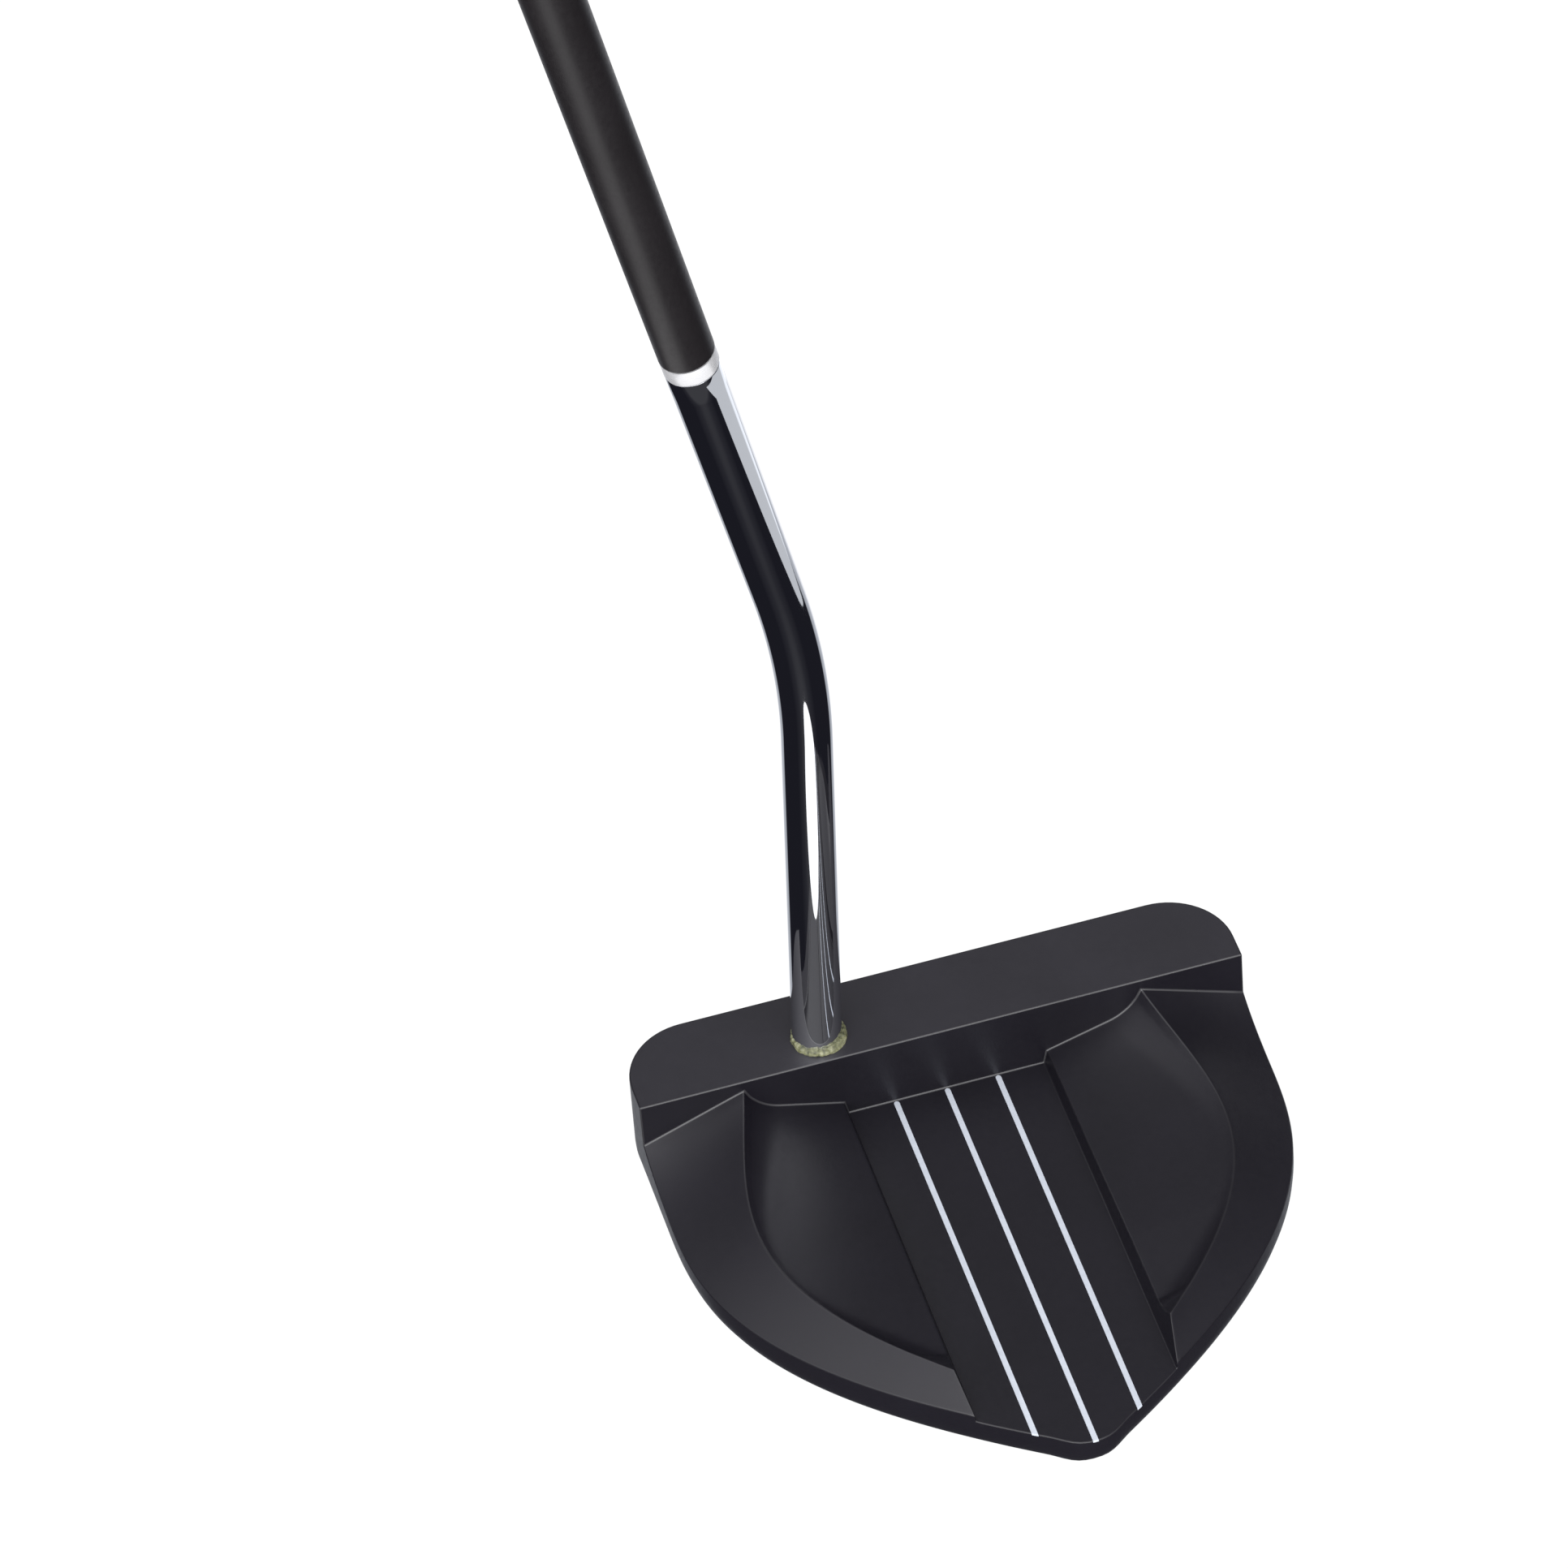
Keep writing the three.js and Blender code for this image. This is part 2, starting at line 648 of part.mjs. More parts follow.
function gripBody() {
  const outer = GRIP_SECTIONS.map(([share, halfWidth, flat, palm]) =>
    shaftRing(gripStart + share * GRIP_LENGTH, (angle) => gripRadius(angle, halfWidth, flat, palm), GRIP_STEPS),
  );
  const inner = GRIP_SECTIONS.map(([share]) => {
    const distance = gripStart + share * GRIP_LENGTH;
    return shaftRing(distance, () => carbonRadius(distance) + 2 * GAP + TAPE_THICKNESS, GRIP_STEPS);
  });
  return sleeve(outer, inner);
}

function gripEndCap() {
  const [, halfWidth, flat, palm] = GRIP_SECTIONS[GRIP_SECTIONS.length - 1];
  const start = BUTT + GAP;
  const levels = [
    [0, 0],
    [CAP_THICKNESS - 1.5, 0],
    [CAP_THICKNESS - 0.5, 0.7],
    [CAP_THICKNESS, 2],
  ];
  const rings = levels.map(([height, inset]) =>
    shaftRing(
      start + height,
      (angle) => gripRadius(angle, halfWidth - inset, flat - inset, palm - inset),
      GRIP_STEPS,
    ),
  );
  return loft(rings);
}

// ---- Assembly -----------------------------------------------------------------------

const group = new THREE.Group();

function addPart(name, geometry, finish) {
  const mesh = new THREE.Mesh(geometry, finish);
  mesh.name = name;
  group.add(mesh);
}

addPart("head_body", headBody(), anodisedBlack);
addPart("face_insert", faceInsert(), polymer);
addPart("face_insert_tape", insertTape(), foamTape);
addPart("heel_sole_weight", soleWeight(-1), steelWeight);
addPart("toe_sole_weight", soleWeight(1), steelWeight);
["heel", "centre", "toe"].forEach((place, index) => {
  addPart(`alignment_line_${place}`, alignmentLine(index - 1), whitePaint);
});
addPart("epoxy_bead", epoxyBead(), epoxy);
addPart("lower_shaft", lowerShaft(), chrome);
addPart("shaft_coupling", shaftCoupling(), satinSilver);
addPart("upper_shaft", upperShaft(), carbonBlack);
addPart("grip_tape", gripTape(), paperTape);
addPart("grip_body", gripBody(), blackRubber);
addPart("grip_end_cap", gripEndCap(), blackRubber);

export default group;
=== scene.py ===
import math

import bmesh
import bpy
from mathutils import Matrix, Vector, noise


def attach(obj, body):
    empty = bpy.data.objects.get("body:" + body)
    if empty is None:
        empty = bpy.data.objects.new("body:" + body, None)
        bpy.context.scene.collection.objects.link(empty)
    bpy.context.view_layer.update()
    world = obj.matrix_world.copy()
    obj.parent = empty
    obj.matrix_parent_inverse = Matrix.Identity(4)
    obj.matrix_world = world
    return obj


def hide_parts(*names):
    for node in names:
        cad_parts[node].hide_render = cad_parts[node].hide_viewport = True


# Looks of the mallet putter. Shapes are worked out in millimetres in the CAD's frame
# (origin at the centre of the sole, +X toe, +Y face, +Z up), and finish_piece turns each
# one into metres.

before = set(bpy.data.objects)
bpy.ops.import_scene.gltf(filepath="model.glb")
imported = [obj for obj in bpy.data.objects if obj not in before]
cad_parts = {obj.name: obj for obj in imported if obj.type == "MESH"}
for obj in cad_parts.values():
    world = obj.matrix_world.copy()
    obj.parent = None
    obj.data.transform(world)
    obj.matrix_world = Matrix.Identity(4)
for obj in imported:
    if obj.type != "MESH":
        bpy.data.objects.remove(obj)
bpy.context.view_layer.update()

MM = 0.001

# ---- Dimensions shared with the CAD, in millimetres ---------------------------------

GAP = 0.3
HEAD_HALF_WIDTH = 58.4
BAR_TOP = 25.0
BAR_DEPTH = 18.4
BAR_REAR_Y = 37.0
FACE_Y = BAR_REAR_Y + BAR_DEPTH
BAR_CORNER_RADIUS = 13.0
FACE_LOFT = math.radians(3)
APEX_Y = -55.0
SOLE_EDGE_HEIGHT = 8.0
SOLE_EDGE_INSET_REAR = 8.0
SOLE_EDGE_INSET_FACE = 2.5
CHANNEL_FLOOR = 9.8
CHANNEL_HALF_WIDTH = 19.1
CHANNEL_DRAFT = 0.21
LINE_PITCH = 9.9
LINE_WIDTH = 1.07
COVE_RADIUS = 7.0
# Toe half of the ridge between pocket and rim, as a Bezier curve from the bar
RIDGE = ((38.5, 37.0), (45.6, 12.8), (54.9, -4.0), (18.0, -38.0))
RIDGE_TOP = 22.7
RIDGE_DROP = 6.8
RIDGE_DROP_LENGTH = 24.0
RIM_TOP = 14.9
RIM_DROP = 4.6
RIM_DROP_LENGTH = 9.0
RIM_RISE = 0.018
RIM_RISE_START = 30.0
POCKET_FLOOR = 12.6
POCKET_RISE = 0.02
POCKET_RISE_LENGTH = 50.0
POCKET_SIDE_SLOPE = 0.14
POCKET_EXTRA_SLOPE = 0.16
POCKET_SLOPE_LENGTH = 10.0

SHAFT_X = -22.2
SHAFT_Y = BAR_REAR_Y + 7.05
TIP_RADIUS = 4.7
STEEL_WALL = 0.6
TIP_DEPTH = 18.0
BORE_DEPTH = 19.0
LOWER_LEAN = 0.036
BEND_HEIGHT = 95.7
BEND_RADIUS = 160.0
LIE = math.radians(78.6)
COUPLING_START = 78.8
COUPLING_LENGTH = 3.2
COUPLING_RADIUS = 5.06
SPIGOT_LENGTH = 18.0
SPIGOT_WALL = 0.9
STEEL_END_RADIUS = 5.0
CARBON_START_RADIUS = 5.12
CARBON_END_RADIUS = 7.6
CARBON_WALL = 1.2
BUTT = 745.0
GRIP_LENGTH = 267.0
GRIP_START = BUTT - GRIP_LENGTH
TAPE_THICKNESS = 0.3
CAP_THICKNESS = 4.0
# Share of the length, half width, distance to the flat, depth of the palm side
GRIP_SECTIONS = [
    (0.0, 9.0, 8.9, 9.0),
    (0.04, 9.6, 9.2, 9.8),
    (0.3, 10.6, 9.6, 11.4),
    (0.55, 11.5, 9.9, 12.6),
    (0.75, 12.2, 10.2, 13.2),
    (0.87, 12.7, 10.6, 15.2),
    (0.95, 13.0, 10.9, 17.0),
    (1.0, 12.9, 10.9, 16.8),
]
INSERT_HALF_LENGTH = 37.0
INSERT_HEIGHT = 14.4
INSERT_MIDDLE = 14.0
INSERT_THICKNESS = 4.2
WEIGHT_X = 42.0
WEIGHT_Y = 39.0
WEIGHT_RADIUS = 8.0
WEIGHT_THICKNESS = 5.5
WEIGHT_SOCKET_RADIUS = 2.9
WEIGHT_SOCKET_DEPTH = 2.8
BEAD_RADIUS = 5.9
BEAD_HEIGHT = 1.1

# ---- Details that only the looks have, in millimetres --------------------------------

EDGE_RADIUS = 0.28
EDGE_SEGMENTS = 3
CRISP_ANGLE = math.radians(30)
ABOVE_SOLE_EDGE = 0.5  # edges start to be eased this far above the rounded sole edge
FIT_GAP = 0.12  # around the insert and the weights
LINE_DEPTH = 0.35
LINE_SINK = 0.04  # the paint lies this far below the channel's floor
GRIP_INSIDE = 0.08  # the rounded grip stays this far inside the CAD's faceted one
GRIP_LIP_EASE = 0.8
GRIP_GROOVES = 40
GRIP_GROOVE_DEPTH = 0.28

# Material slots of the head; the last three are lighter copies of its black: painted edge highlight,
# painted sheen on the bar's top, stronger painted highlight along the bar's rear wall
HEAD_EDGE_HIGHLIGHT, HEAD_TOP_SHEEN, HEAD_REAR_EDGE_HIGHLIGHT = 1, 2, 3


# ---- Node materials -----------------------------------------------------------------

class Look:
    """A Principled material and short ways to feed its sockets."""

    def __init__(self, name, base, roughness, metallic=0.0):
        self.material = bpy.data.materials.new(name)
        self.material.use_nodes = True
        self.nodes = self.material.node_tree.nodes
        self.links = self.material.node_tree.links
        self.shader = self.nodes["Principled BSDF"]
        self.shader.inputs["Base Color"].default_value = (*base, 1.0)
        self.shader.inputs["Roughness"].default_value = roughness
        self.shader.inputs["Metallic"].default_value = metallic
        self.place = self.nodes.new("ShaderNodeTexCoord").outputs["Object"]

    def link(self, output, socket):
        self.links.new(output, socket)

    def stretched(self, scale):
        """Object coordinates multiplied by scale, for grain that runs one way."""
        mapping = self.nodes.new("ShaderNodeMapping")
        mapping.inputs["Scale"].default_value = scale
        self.link(self.place, mapping.inputs["Vector"])
        return mapping.outputs["Vector"]

    def noise(self, per_metre, detail=3.0, place=None, rough=0.5):
        texture = self.nodes.new("ShaderNodeTexNoise")
        texture.inputs["Scale"].default_value = per_metre
        texture.inputs["Detail"].default_value = detail
        texture.inputs["Roughness"].default_value = rough
        self.link(place or self.place, texture.inputs["Vector"])
        return texture.outputs["Fac"]

    def range(self, output, low, high, start=0.3, end=0.7):
        """Maps start..end of a value to low..high."""
        node = self.nodes.new("ShaderNodeMapRange")
        node.inputs["From Min"].default_value = start
        node.inputs["From Max"].default_value = end
        node.inputs["To Min"].default_value = low
        node.inputs["To Max"].default_value = high
        self.link(output, node.inputs["Value"])
        return node.outputs["Result"]

    def ramp(self, output, stops):
        node = self.nodes.new("ShaderNodeValToRGB")
        elements = node.color_ramp.elements
        while len(elements) < len(stops):
            elements.new(0.5)
        for element, (position, color) in zip(elements, stops):
            element.position = position
            element.color = (*color, 1.0)
        self.link(output, node.inputs["Fac"])
        return node.outputs["Color"]

    def bump(self, output, height_mm, strength, after=None):
        node = self.nodes.new("ShaderNodeBump")
        node.inputs["Distance"].default_value = height_mm * MM
        node.inputs["Strength"].default_value = strength
        self.link(output, node.inputs["Height"])
        if after is not None:
            self.link(after, node.inputs["Normal"])
        self.link(node.outputs["Normal"], self.shader.inputs["Normal"])
        return node.outputs["Normal"]

    def color(self, output):
        self.link(output, self.shader.inputs["Base Color"])

    def roughness(self, output):
        self.link(output, self.shader.inputs["Roughness"])


def anodised_black(name, base, smoothest, roughest, specular):
    """Satin anodised metal: a cloudy base and the fine grain of a blasted surface."""
    look = Look(name, base, 0.45)
    shade = look.noise(60, 4)
    dark = tuple(value * 0.88 for value in base)
    light = tuple(value * 1.12 for value in base)
    look.color(look.ramp(shade, [(0.3, dark), (0.7, light)]))
    look.shader.inputs["Specular IOR Level"].default_value = specular
    look.roughness(look.range(look.noise(900, 5, rough=0.6), smoothest, roughest))
    grain = look.bump(look.noise(5200, 4, rough=0.65), 0.02, 0.5)
    look.bump(look.noise(1500, 3), 0.02, 0.25, after=grain)
    return look.material


def white_paint():
    look = Look("line_paint", (0.60, 0.64, 0.71), 0.42)
    shade = look.noise(700, 3)
    look.color(look.ramp(shade, [(0.25, (0.57, 0.61, 0.68)), (0.75, (0.64, 0.68, 0.75))]))
    look.bump(look.noise(2600, 3), 0.02, 0.4)
    return look.material


def chrome():
    look = Look("chrome_plate", (0.82, 0.83, 0.86), 0.03, 1.0)
    along = look.stretched((1.0, 1.0, 0.06))
    look.roughness(look.range(look.noise(1800, 3, place=along), 0.02, 0.05))
    look.bump(look.noise(35, 2), 0.012, 0.25)
    return look.material


def satin_silver():
    look = Look("turned_silver", (0.70, 0.70, 0.715), 0.3, 0.4)
    around = look.stretched((0.05, 0.05, 1.0))
    turning = look.noise(9000, 2, place=around)
    look.roughness(look.range(turning, 0.24, 0.38))
    look.bump(turning, 0.01, 0.4)
    return look.material


def satin_carbon():
    look = Look("satin_black_shaft", (0.012, 0.010, 0.012), 0.4)
    look.shader.inputs["Specular IOR Level"].default_value = 0.5
    shade = look.noise(45, 4)
    dark = (0.010, 0.0085, 0.0095)
    light = (0.014, 0.012, 0.0135)
    look.color(look.ramp(shade, [(0.3, dark), (0.7, light)]))
    look.roughness(look.range(look.noise(1200, 4), 0.36, 0.46))
    look.bump(look.noise(4200, 3), 0.012, 0.5)
    return look.material


def cured_epoxy():
    look = Look("cured_epoxy", (0.42, 0.41, 0.22), 0.22)
    look.shader.inputs["Subsurface Weight"].default_value = 0.35
    look.shader.inputs["Subsurface Radius"].default_value = (0.0012, 0.0011, 0.0006)
    cloud = look.noise(900, 4)
    deep = (0.07, 0.075, 0.045)
    amber = (0.20, 0.205, 0.11)
    pale = (0.46, 0.46, 0.30)
    look.color(look.ramp(cloud, [(0.3, deep), (0.5, amber), (0.74, pale)]))
    look.roughness(look.range(look.noise(1600, 3), 0.15, 0.45))
    look.bump(look.noise(1500, 4), 0.12, 0.6)
    return look.material


def moulded_rubber():
    look = Look("grip_rubber", (0.018, 0.018, 0.019), 0.7)
    shade = look.noise(30, 3)
    look.color(look.ramp(shade, [(0.3, (0.014, 0.014, 0.015)), (0.7, (0.024, 0.024, 0.025))]))
    look.roughness(look.range(look.noise(700, 4), 0.6, 0.85))
    look.bump(look.noise(3000, 4), 0.05, 0.6)
    return look.material


def moulded_polymer():
    look = Look("insert_polymer", (0.045, 0.045, 0.05), 0.5)
    shade = look.noise(80, 3)
    look.color(look.ramp(shade, [(0.3, (0.038, 0.038, 0.043)), (0.7, (0.052, 0.052, 0.058))]))
    look.roughness(look.range(look.noise(1100, 3), 0.45, 0.6))
    look.bump(look.noise(3600, 3), 0.02, 0.5)
    return look.material


def turned_steel():
    look = Look("turned_steel", (0.52, 0.53, 0.55), 0.33, 1.0)
    look.roughness(look.range(look.noise(1500, 3), 0.26, 0.42))
    look.bump(look.noise(4000, 2), 0.01, 0.4)
    return look.material


def paper_tape():
    look = Look("paper_tape", (0.66, 0.58, 0.40), 0.8)
    fibres = look.noise(2200, 4, place=look.stretched((1.0, 1.0, 0.3)))
    look.color(look.ramp(fibres, [(0.3, (0.56, 0.48, 0.32)), (0.7, (0.74, 0.67, 0.49))]))
    look.bump(fibres, 0.04, 0.6)
    return look.material


def foam_tape():
    look = Look("foam_tape", (0.8, 0.8, 0.77), 0.85)
    cells = look.noise(2500, 3)
    look.color(look.ramp(cells, [(0.3, (0.7, 0.7, 0.67)), (0.7, (0.85, 0.85, 0.82))]))
    look.bump(cells, 0.06, 0.7)
    return look.material


# ---- Mesh helpers -------------------------------------------------------------------

class Shell:
    """Faces given by their corner points; corners in the same place are shared."""

    def __init__(self):
        self.mesh = bmesh.new()
        self.corners = {}

    def corner(self, point):
        key = tuple(round(value, 3) for value in point)
        if key not in self.corners:
            self.corners[key] = self.mesh.verts.new(point)
        return self.corners[key]

    def face(self, points):
        ring = []
        for point in points:
            vertex = self.corner(point)
            if vertex not in ring:
                ring.append(vertex)
        if len(ring) > 2:
            self.mesh.faces.new(ring)

    def half_face(self, side, points):
        """A face of the toe half, or its mirror image where side is -1."""
        self.face([(side * x, y, z) for x, y, z in points])

    def closed(self):
        bmesh.ops.remove_doubles(self.mesh, verts=self.mesh.verts, dist=0.003)
        bmesh.ops.recalc_face_normals(self.mesh, faces=self.mesh.faces)
        return self.mesh


def lofted(rings, closed_ends=True):
    """A solid through rings of points with the same count."""
    shell = Shell()
    steps = len(rings[0])
    for below, above in zip(rings, rings[1:]):
        for step in range(steps):
            after = (step + 1) % steps
            shell.face([below[step], below[after], above[after], above[step]])
    if closed_ends:
        shell.face(rings[0])
        shell.face(rings[-1])
    return shell.closed()


def smooth_by_angle(mesh, degrees=32):
    """Smooth shading with sharp edges where faces meet at more than the angle."""
    limit = math.radians(degrees)
    for face in mesh.faces:
        face.smooth = True
    for edge in mesh.edges:
        edge.smooth = len(edge.link_faces) == 2 and edge.calc_face_angle(0.0) < limit


def to_object(name, mesh):
    data = bpy.data.meshes.new(name)
    mesh.to_mesh(data)
    mesh.free()
    piece = bpy.data.objects.new(name, data)
    bpy.context.scene.collection.objects.link(piece)
    return piece


def combined(base, cutter, operation):
    """The mesh data of base cut by, or shared with, cutter."""
    modifier = base.modifiers.new("combine", "BOOLEAN")
    modifier.operation = operation
    modifier.solver = "EXACT"
    modifier.object = cutter
    graph = bpy.context.evaluated_depsgraph_get()
    data = bpy.data.meshes.new_from_object(base.evaluated_get(graph))
    base.modifiers.remove(modifier)
    return data


def cut_from(base, cutter):
    data = combined(base, cutter, "DIFFERENCE")
    old = base.data
    base.data = data
    bpy.data.meshes.remove(old)


def discard(piece):
    data = piece.data
    bpy.data.objects.remove(piece)
    bpy.data.meshes.remove(data)


def shade_object(piece, degrees=32):
    mesh = bmesh.new()
    mesh.from_mesh(piece.data)
    bmesh.ops.remove_doubles(mesh, verts=mesh.verts, dist=0.0005)
    smooth_by_angle(mesh, degrees)
    mesh.to_mesh(piece.data)
    mesh.free()


def dress(piece, materials):
    """Gives a piece its materials. Clearing an empty list would reset its faces' slots."""
    if len(piece.data.materials):
        piece.data.materials.clear()
    for material in materials:
        piece.data.materials.append(material)


def finish_piece(piece, nodes, materials=(), weighted=True):
    """Brings a piece made in millimetres to metres, dresses it and ties it to the CAD."""
    piece.data.transform(Matrix.Scale(MM, 4))
    if materials:
        dress(piece, materials)
    if weighted:
        modifier = piece.modifiers.new("normals", "WEIGHTED_NORMAL")
        modifier.keep_sharp = True
    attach(piece, "root")
    if nodes:
        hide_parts(*nodes)
    return piece


def lerp(start, end, share):
    return start + (end - start) * share


def between(start, end, share):
    return tuple(lerp(a, b, share) for a, b in zip(start, end))


def bezier(points, share):
    rest = 1 - share
    weights = (rest ** 3, 3 * rest ** 2 * share, 3 * rest * share ** 2, share ** 3)
    x = sum(weight * point[0] for weight, point in zip(weights, points))
    y = sum(weight * point[1] for weight, point in zip(weights, points))
    return (x, y)


def resampled(points, shares):
    """Points of a polyline at shares of its length."""
    reach = [0.0]
    for start, end in zip(points, points[1:]):
        reach.append(reach[-1] + math.dist(start, end))
    found = []
    index = 0
    for share in shares:
        distance = share * reach[-1]
        while index < len(points) - 2 and reach[index + 1] < distance:
            index += 1
        span = reach[index + 1] - reach[index]
        part = min(1.0, max(0.0, (distance - reach[index]) / span))
        found.append(between(points[index], points[index + 1], part))
    return found


# ---- Head surfaces ------------------------------------------------------------------

RIDGE_STEPS = 72
POCKET_ROWS = 20
POCKET_ROW_POWER = 1.2  # packs the rows towards the cove
POCKET_MARGIN = 0.9  # keeps the inner rows clear of the eased edges
POCKET_NARROW = 6.0  # a column shorter than this has no inner rows
RIM_ROWS = 9
LIP_STEPS = 16
CORNER_STEPS = 16
SOLE_STEPS = 8
SKIRT_CENTRE_Y = 5.0  # the sole's outline shrinks towards this point


def ridge_height(y):
    back = BAR_REAR_Y - y
    return RIDGE_TOP - RIDGE_DROP * (1 - math.exp(-back / RIDGE_DROP_LENGTH))


def rim_height(y):
    back = BAR_REAR_Y - y
    drop = RIM_DROP * (1 - math.exp(-back / RIM_DROP_LENGTH))
    return RIM_TOP - drop + RIM_RISE * max(0.0, back - RIM_RISE_START)


def wall_x(height):
    """Half width of the channel at a height, on its drafted walls."""
    return CHANNEL_HALF_WIDTH + CHANNEL_DRAFT * (height - CHANNEL_FLOOR)


def ridge_plan():
    """Plan points of the toe ridge, from the bar to the channel's wall."""
    low, high = 0.5, 1.0
    for _ in range(40):
        middle = (low + high) / 2
        x, y = bezier(RIDGE, middle)
        if x > wall_x(ridge_height(y)):
            low = middle
        else:
            high = middle
    fine = [bezier(RIDGE, low * step / 400) for step in range(401)]
    return resampled(fine, [step / RIDGE_STEPS for step in range(RIDGE_STEPS + 1)])


def pocket_floor(x, y):
    """The gently sloping floor of a pocket, steepest beside the bar."""
    back = BAR_REAR_Y - y
    slope = POCKET_SIDE_SLOPE + POCKET_EXTRA_SLOPE * math.exp(-back / POCKET_SLOPE_LENGTH)
    middle = POCKET_FLOOR + POCKET_RISE * min(back, POCKET_RISE_LENGTH)
    return middle + slope * max(0.0, x - CHANNEL_HALF_WIDTH)


def nearest_on_line(place, line):
    """Distance to a plan polyline and the nearest point on it."""
    best = None
    for start, end in zip(line, line[1:]):
        along = (end[0] - start[0], end[1] - start[1])
        length_squared = along[0] ** 2 + along[1] ** 2
        share = ((place[0] - start[0]) * along[0] + (place[1] - start[1]) * along[1]) / length_squared
        share = min(1.0, max(0.0, share))
        foot = (start[0] + along[0] * share, start[1] + along[1] * share)
        distance = math.dist(place, foot)
        if best is None or distance < best[0]:
            best = (distance, foot)
    return best


def pocket_height(x, y, ridge):
    """The floor inside the ridge, with a round cove up to the ridge."""
    distance, foot = nearest_on_line((x, y), ridge)
    rise = ridge_height(foot[1]) - pocket_floor(*foot)
    rise = min(COVE_RADIUS, max(0.0, rise))
    width = math.sqrt(COVE_RADIUS ** 2 - (COVE_RADIUS - rise) ** 2)
    into = max(0.0, width - distance)
    return pocket_floor(x, y) + COVE_RADIUS - math.sqrt(COVE_RADIUS ** 2 - into ** 2)


def rear_outline():
    """The outline from the bar's rear corner to the apex, finely stepped."""
    points = [(HEAD_HALF_WIDTH, BAR_REAR_Y), (HEAD_HALF_WIDTH, BAR_REAR_Y - 15)]
    side = ((58.4, 22.0), (58.4, 4.0), (57.6, -19.0), (8.0, -51.2))
    tail = ((8.0, -51.2), (4.8, -53.4), (3.8, APEX_Y), (0.0, APEX_Y))
    points += [bezier(side, step / 300) for step in range(1, 301)]
    points += [bezier(tail, step / 60) for step in range(1, 61)]
    return points


def split_outline():
    """The rear outline as the stretch beside the rim and the stretch at the channel's lip."""
    points = rear_outline()
    for index in range(2, len(points)):
        before, after = points[index - 1], points[index]
        if after[0] <= CHANNEL_HALF_WIDTH:
            share = (before[0] - CHANNEL_HALF_WIDTH) / (before[0] - after[0])
            crossing = (CHANNEL_HALF_WIDTH, lerp(before[1], after[1], share))
            rim = points[:index] + [crossing]
            lip = [crossing] + points[index:]
            break
    rim = resampled(rim, [step / RIDGE_STEPS for step in range(RIDGE_STEPS + 1)])
    lip = resampled(lip, [step / LIP_STEPS for step in range(LIP_STEPS + 1)])
    return rim, lip


def bar_outline():
    """Half of the bar's outline, from the middle of the face to its rear corner."""
    points = [(0.0, FACE_Y), (15.0, FACE_Y), (30.0, FACE_Y)]
    middle = (HEAD_HALF_WIDTH - BAR_CORNER_RADIUS, FACE_Y - BAR_CORNER_RADIUS)
    for step in range(CORNER_STEPS + 1):
        angle = math.pi / 2 * (1 - step / CORNER_STEPS)
        points.append((
            middle[0] + BAR_CORNER_RADIUS * math.cos(angle),
            middle[1] + BAR_CORNER_RADIUS * math.sin(angle),
        ))
    points.append((HEAD_HALF_WIDTH, BAR_REAR_Y))
    return points


def skirt_point(plan, z):
    """A point of the head's side at a height: lofted at the face, rounded in at the sole."""
    x, y = plan
    front = min(1.0, max(0.0, (y - BAR_REAR_Y) / BAR_DEPTH))
    inset = 0.0
    if z < SOLE_EDGE_HEIGHT:
        depth = lerp(SOLE_EDGE_INSET_REAR, SOLE_EDGE_INSET_FACE, front)
        inset = depth * (1 - math.sin(math.acos(1 - z / SOLE_EDGE_HEIGHT)))
    reach = math.hypot(x, y - SKIRT_CENTRE_Y)
    keep = (reach - inset) / reach
    loft = front * (BAR_TOP - z) * math.tan(FACE_LOFT)
    return (x * keep, SKIRT_CENTRE_Y + (y - SKIRT_CENTRE_Y) * keep + loft, z)


def sole_levels():
    angles = [math.pi / 2 * (1 - step / SOLE_STEPS) for step in range(SOLE_STEPS + 1)]
    return [SOLE_EDGE_HEIGHT * (1 - math.cos(angle)) for angle in angles]


def skirt_strip(shell, side, left, left_tops, right, right_tops):
    """Faces between two neighbouring outline points, from their top edges to the sole."""
    levels = sole_levels()
    first = [skirt_point(left, z) for z in left_tops + levels[:1]]
    second = [skirt_point(right, z) for z in right_tops + levels[:1]]
    shell.half_face(side, first + second[::-1])
    for high, low in zip(levels, levels[1:]):
        upper = [skirt_point(left, high), skirt_point(right, high)]
        lower = [skirt_point(right, low), skirt_point(left, low)]
        shell.half_face(side, upper + lower)


def pocket_column(foot, ridge, edge_x):
    """Points across the pocket at one y, from the channel's edge to the ridge."""
    y = foot[1]
    if foot[0] - edge_x < POCKET_NARROW:
        places = [edge_x, foot[0]]
    else:
        low = edge_x + POCKET_MARGIN
        high = foot[0] - POCKET_MARGIN
        rows = [row / POCKET_ROWS for row in range(POCKET_ROWS + 1)]
        inner = [lerp(low, high, 1 - (1 - row) ** POCKET_ROW_POWER) for row in rows]
        places = [edge_x, *inner, foot[0]]
    column = [(x, y, pocket_height(x, y, ridge)) for x in places]
    column[-1] = (foot[0], y, ridge_height(y))
    return column


def pocket_grid(ridge):
    """Columns of points across the pocket, from the bar to the ridge's end."""
    grid = []
    for foot in ridge:
        edge_x = CHANNEL_HALF_WIDTH
        for _ in range(4):
            edge_x = wall_x(pocket_height(edge_x, foot[1], ridge))
        grid.append(pocket_column(foot, ridge, min(edge_x, foot[0])))
    tip = (ridge[-1][0], ridge[-1][1], ridge_height(ridge[-1][1]))
    grid[-1] = [tip, tip]
    return grid


def band_grid(ridge, rim):
    """Columns of points down the sloping band, from the ridge to the rim."""
    grid = []
    for foot, edge in zip(ridge, rim):
        start = (*foot, ridge_height(foot[1]))
        end = (*edge, rim_height(edge[1]))
        grid.append([between(start, end, row / RIM_ROWS) for row in range(RIM_ROWS + 1)])
    return grid


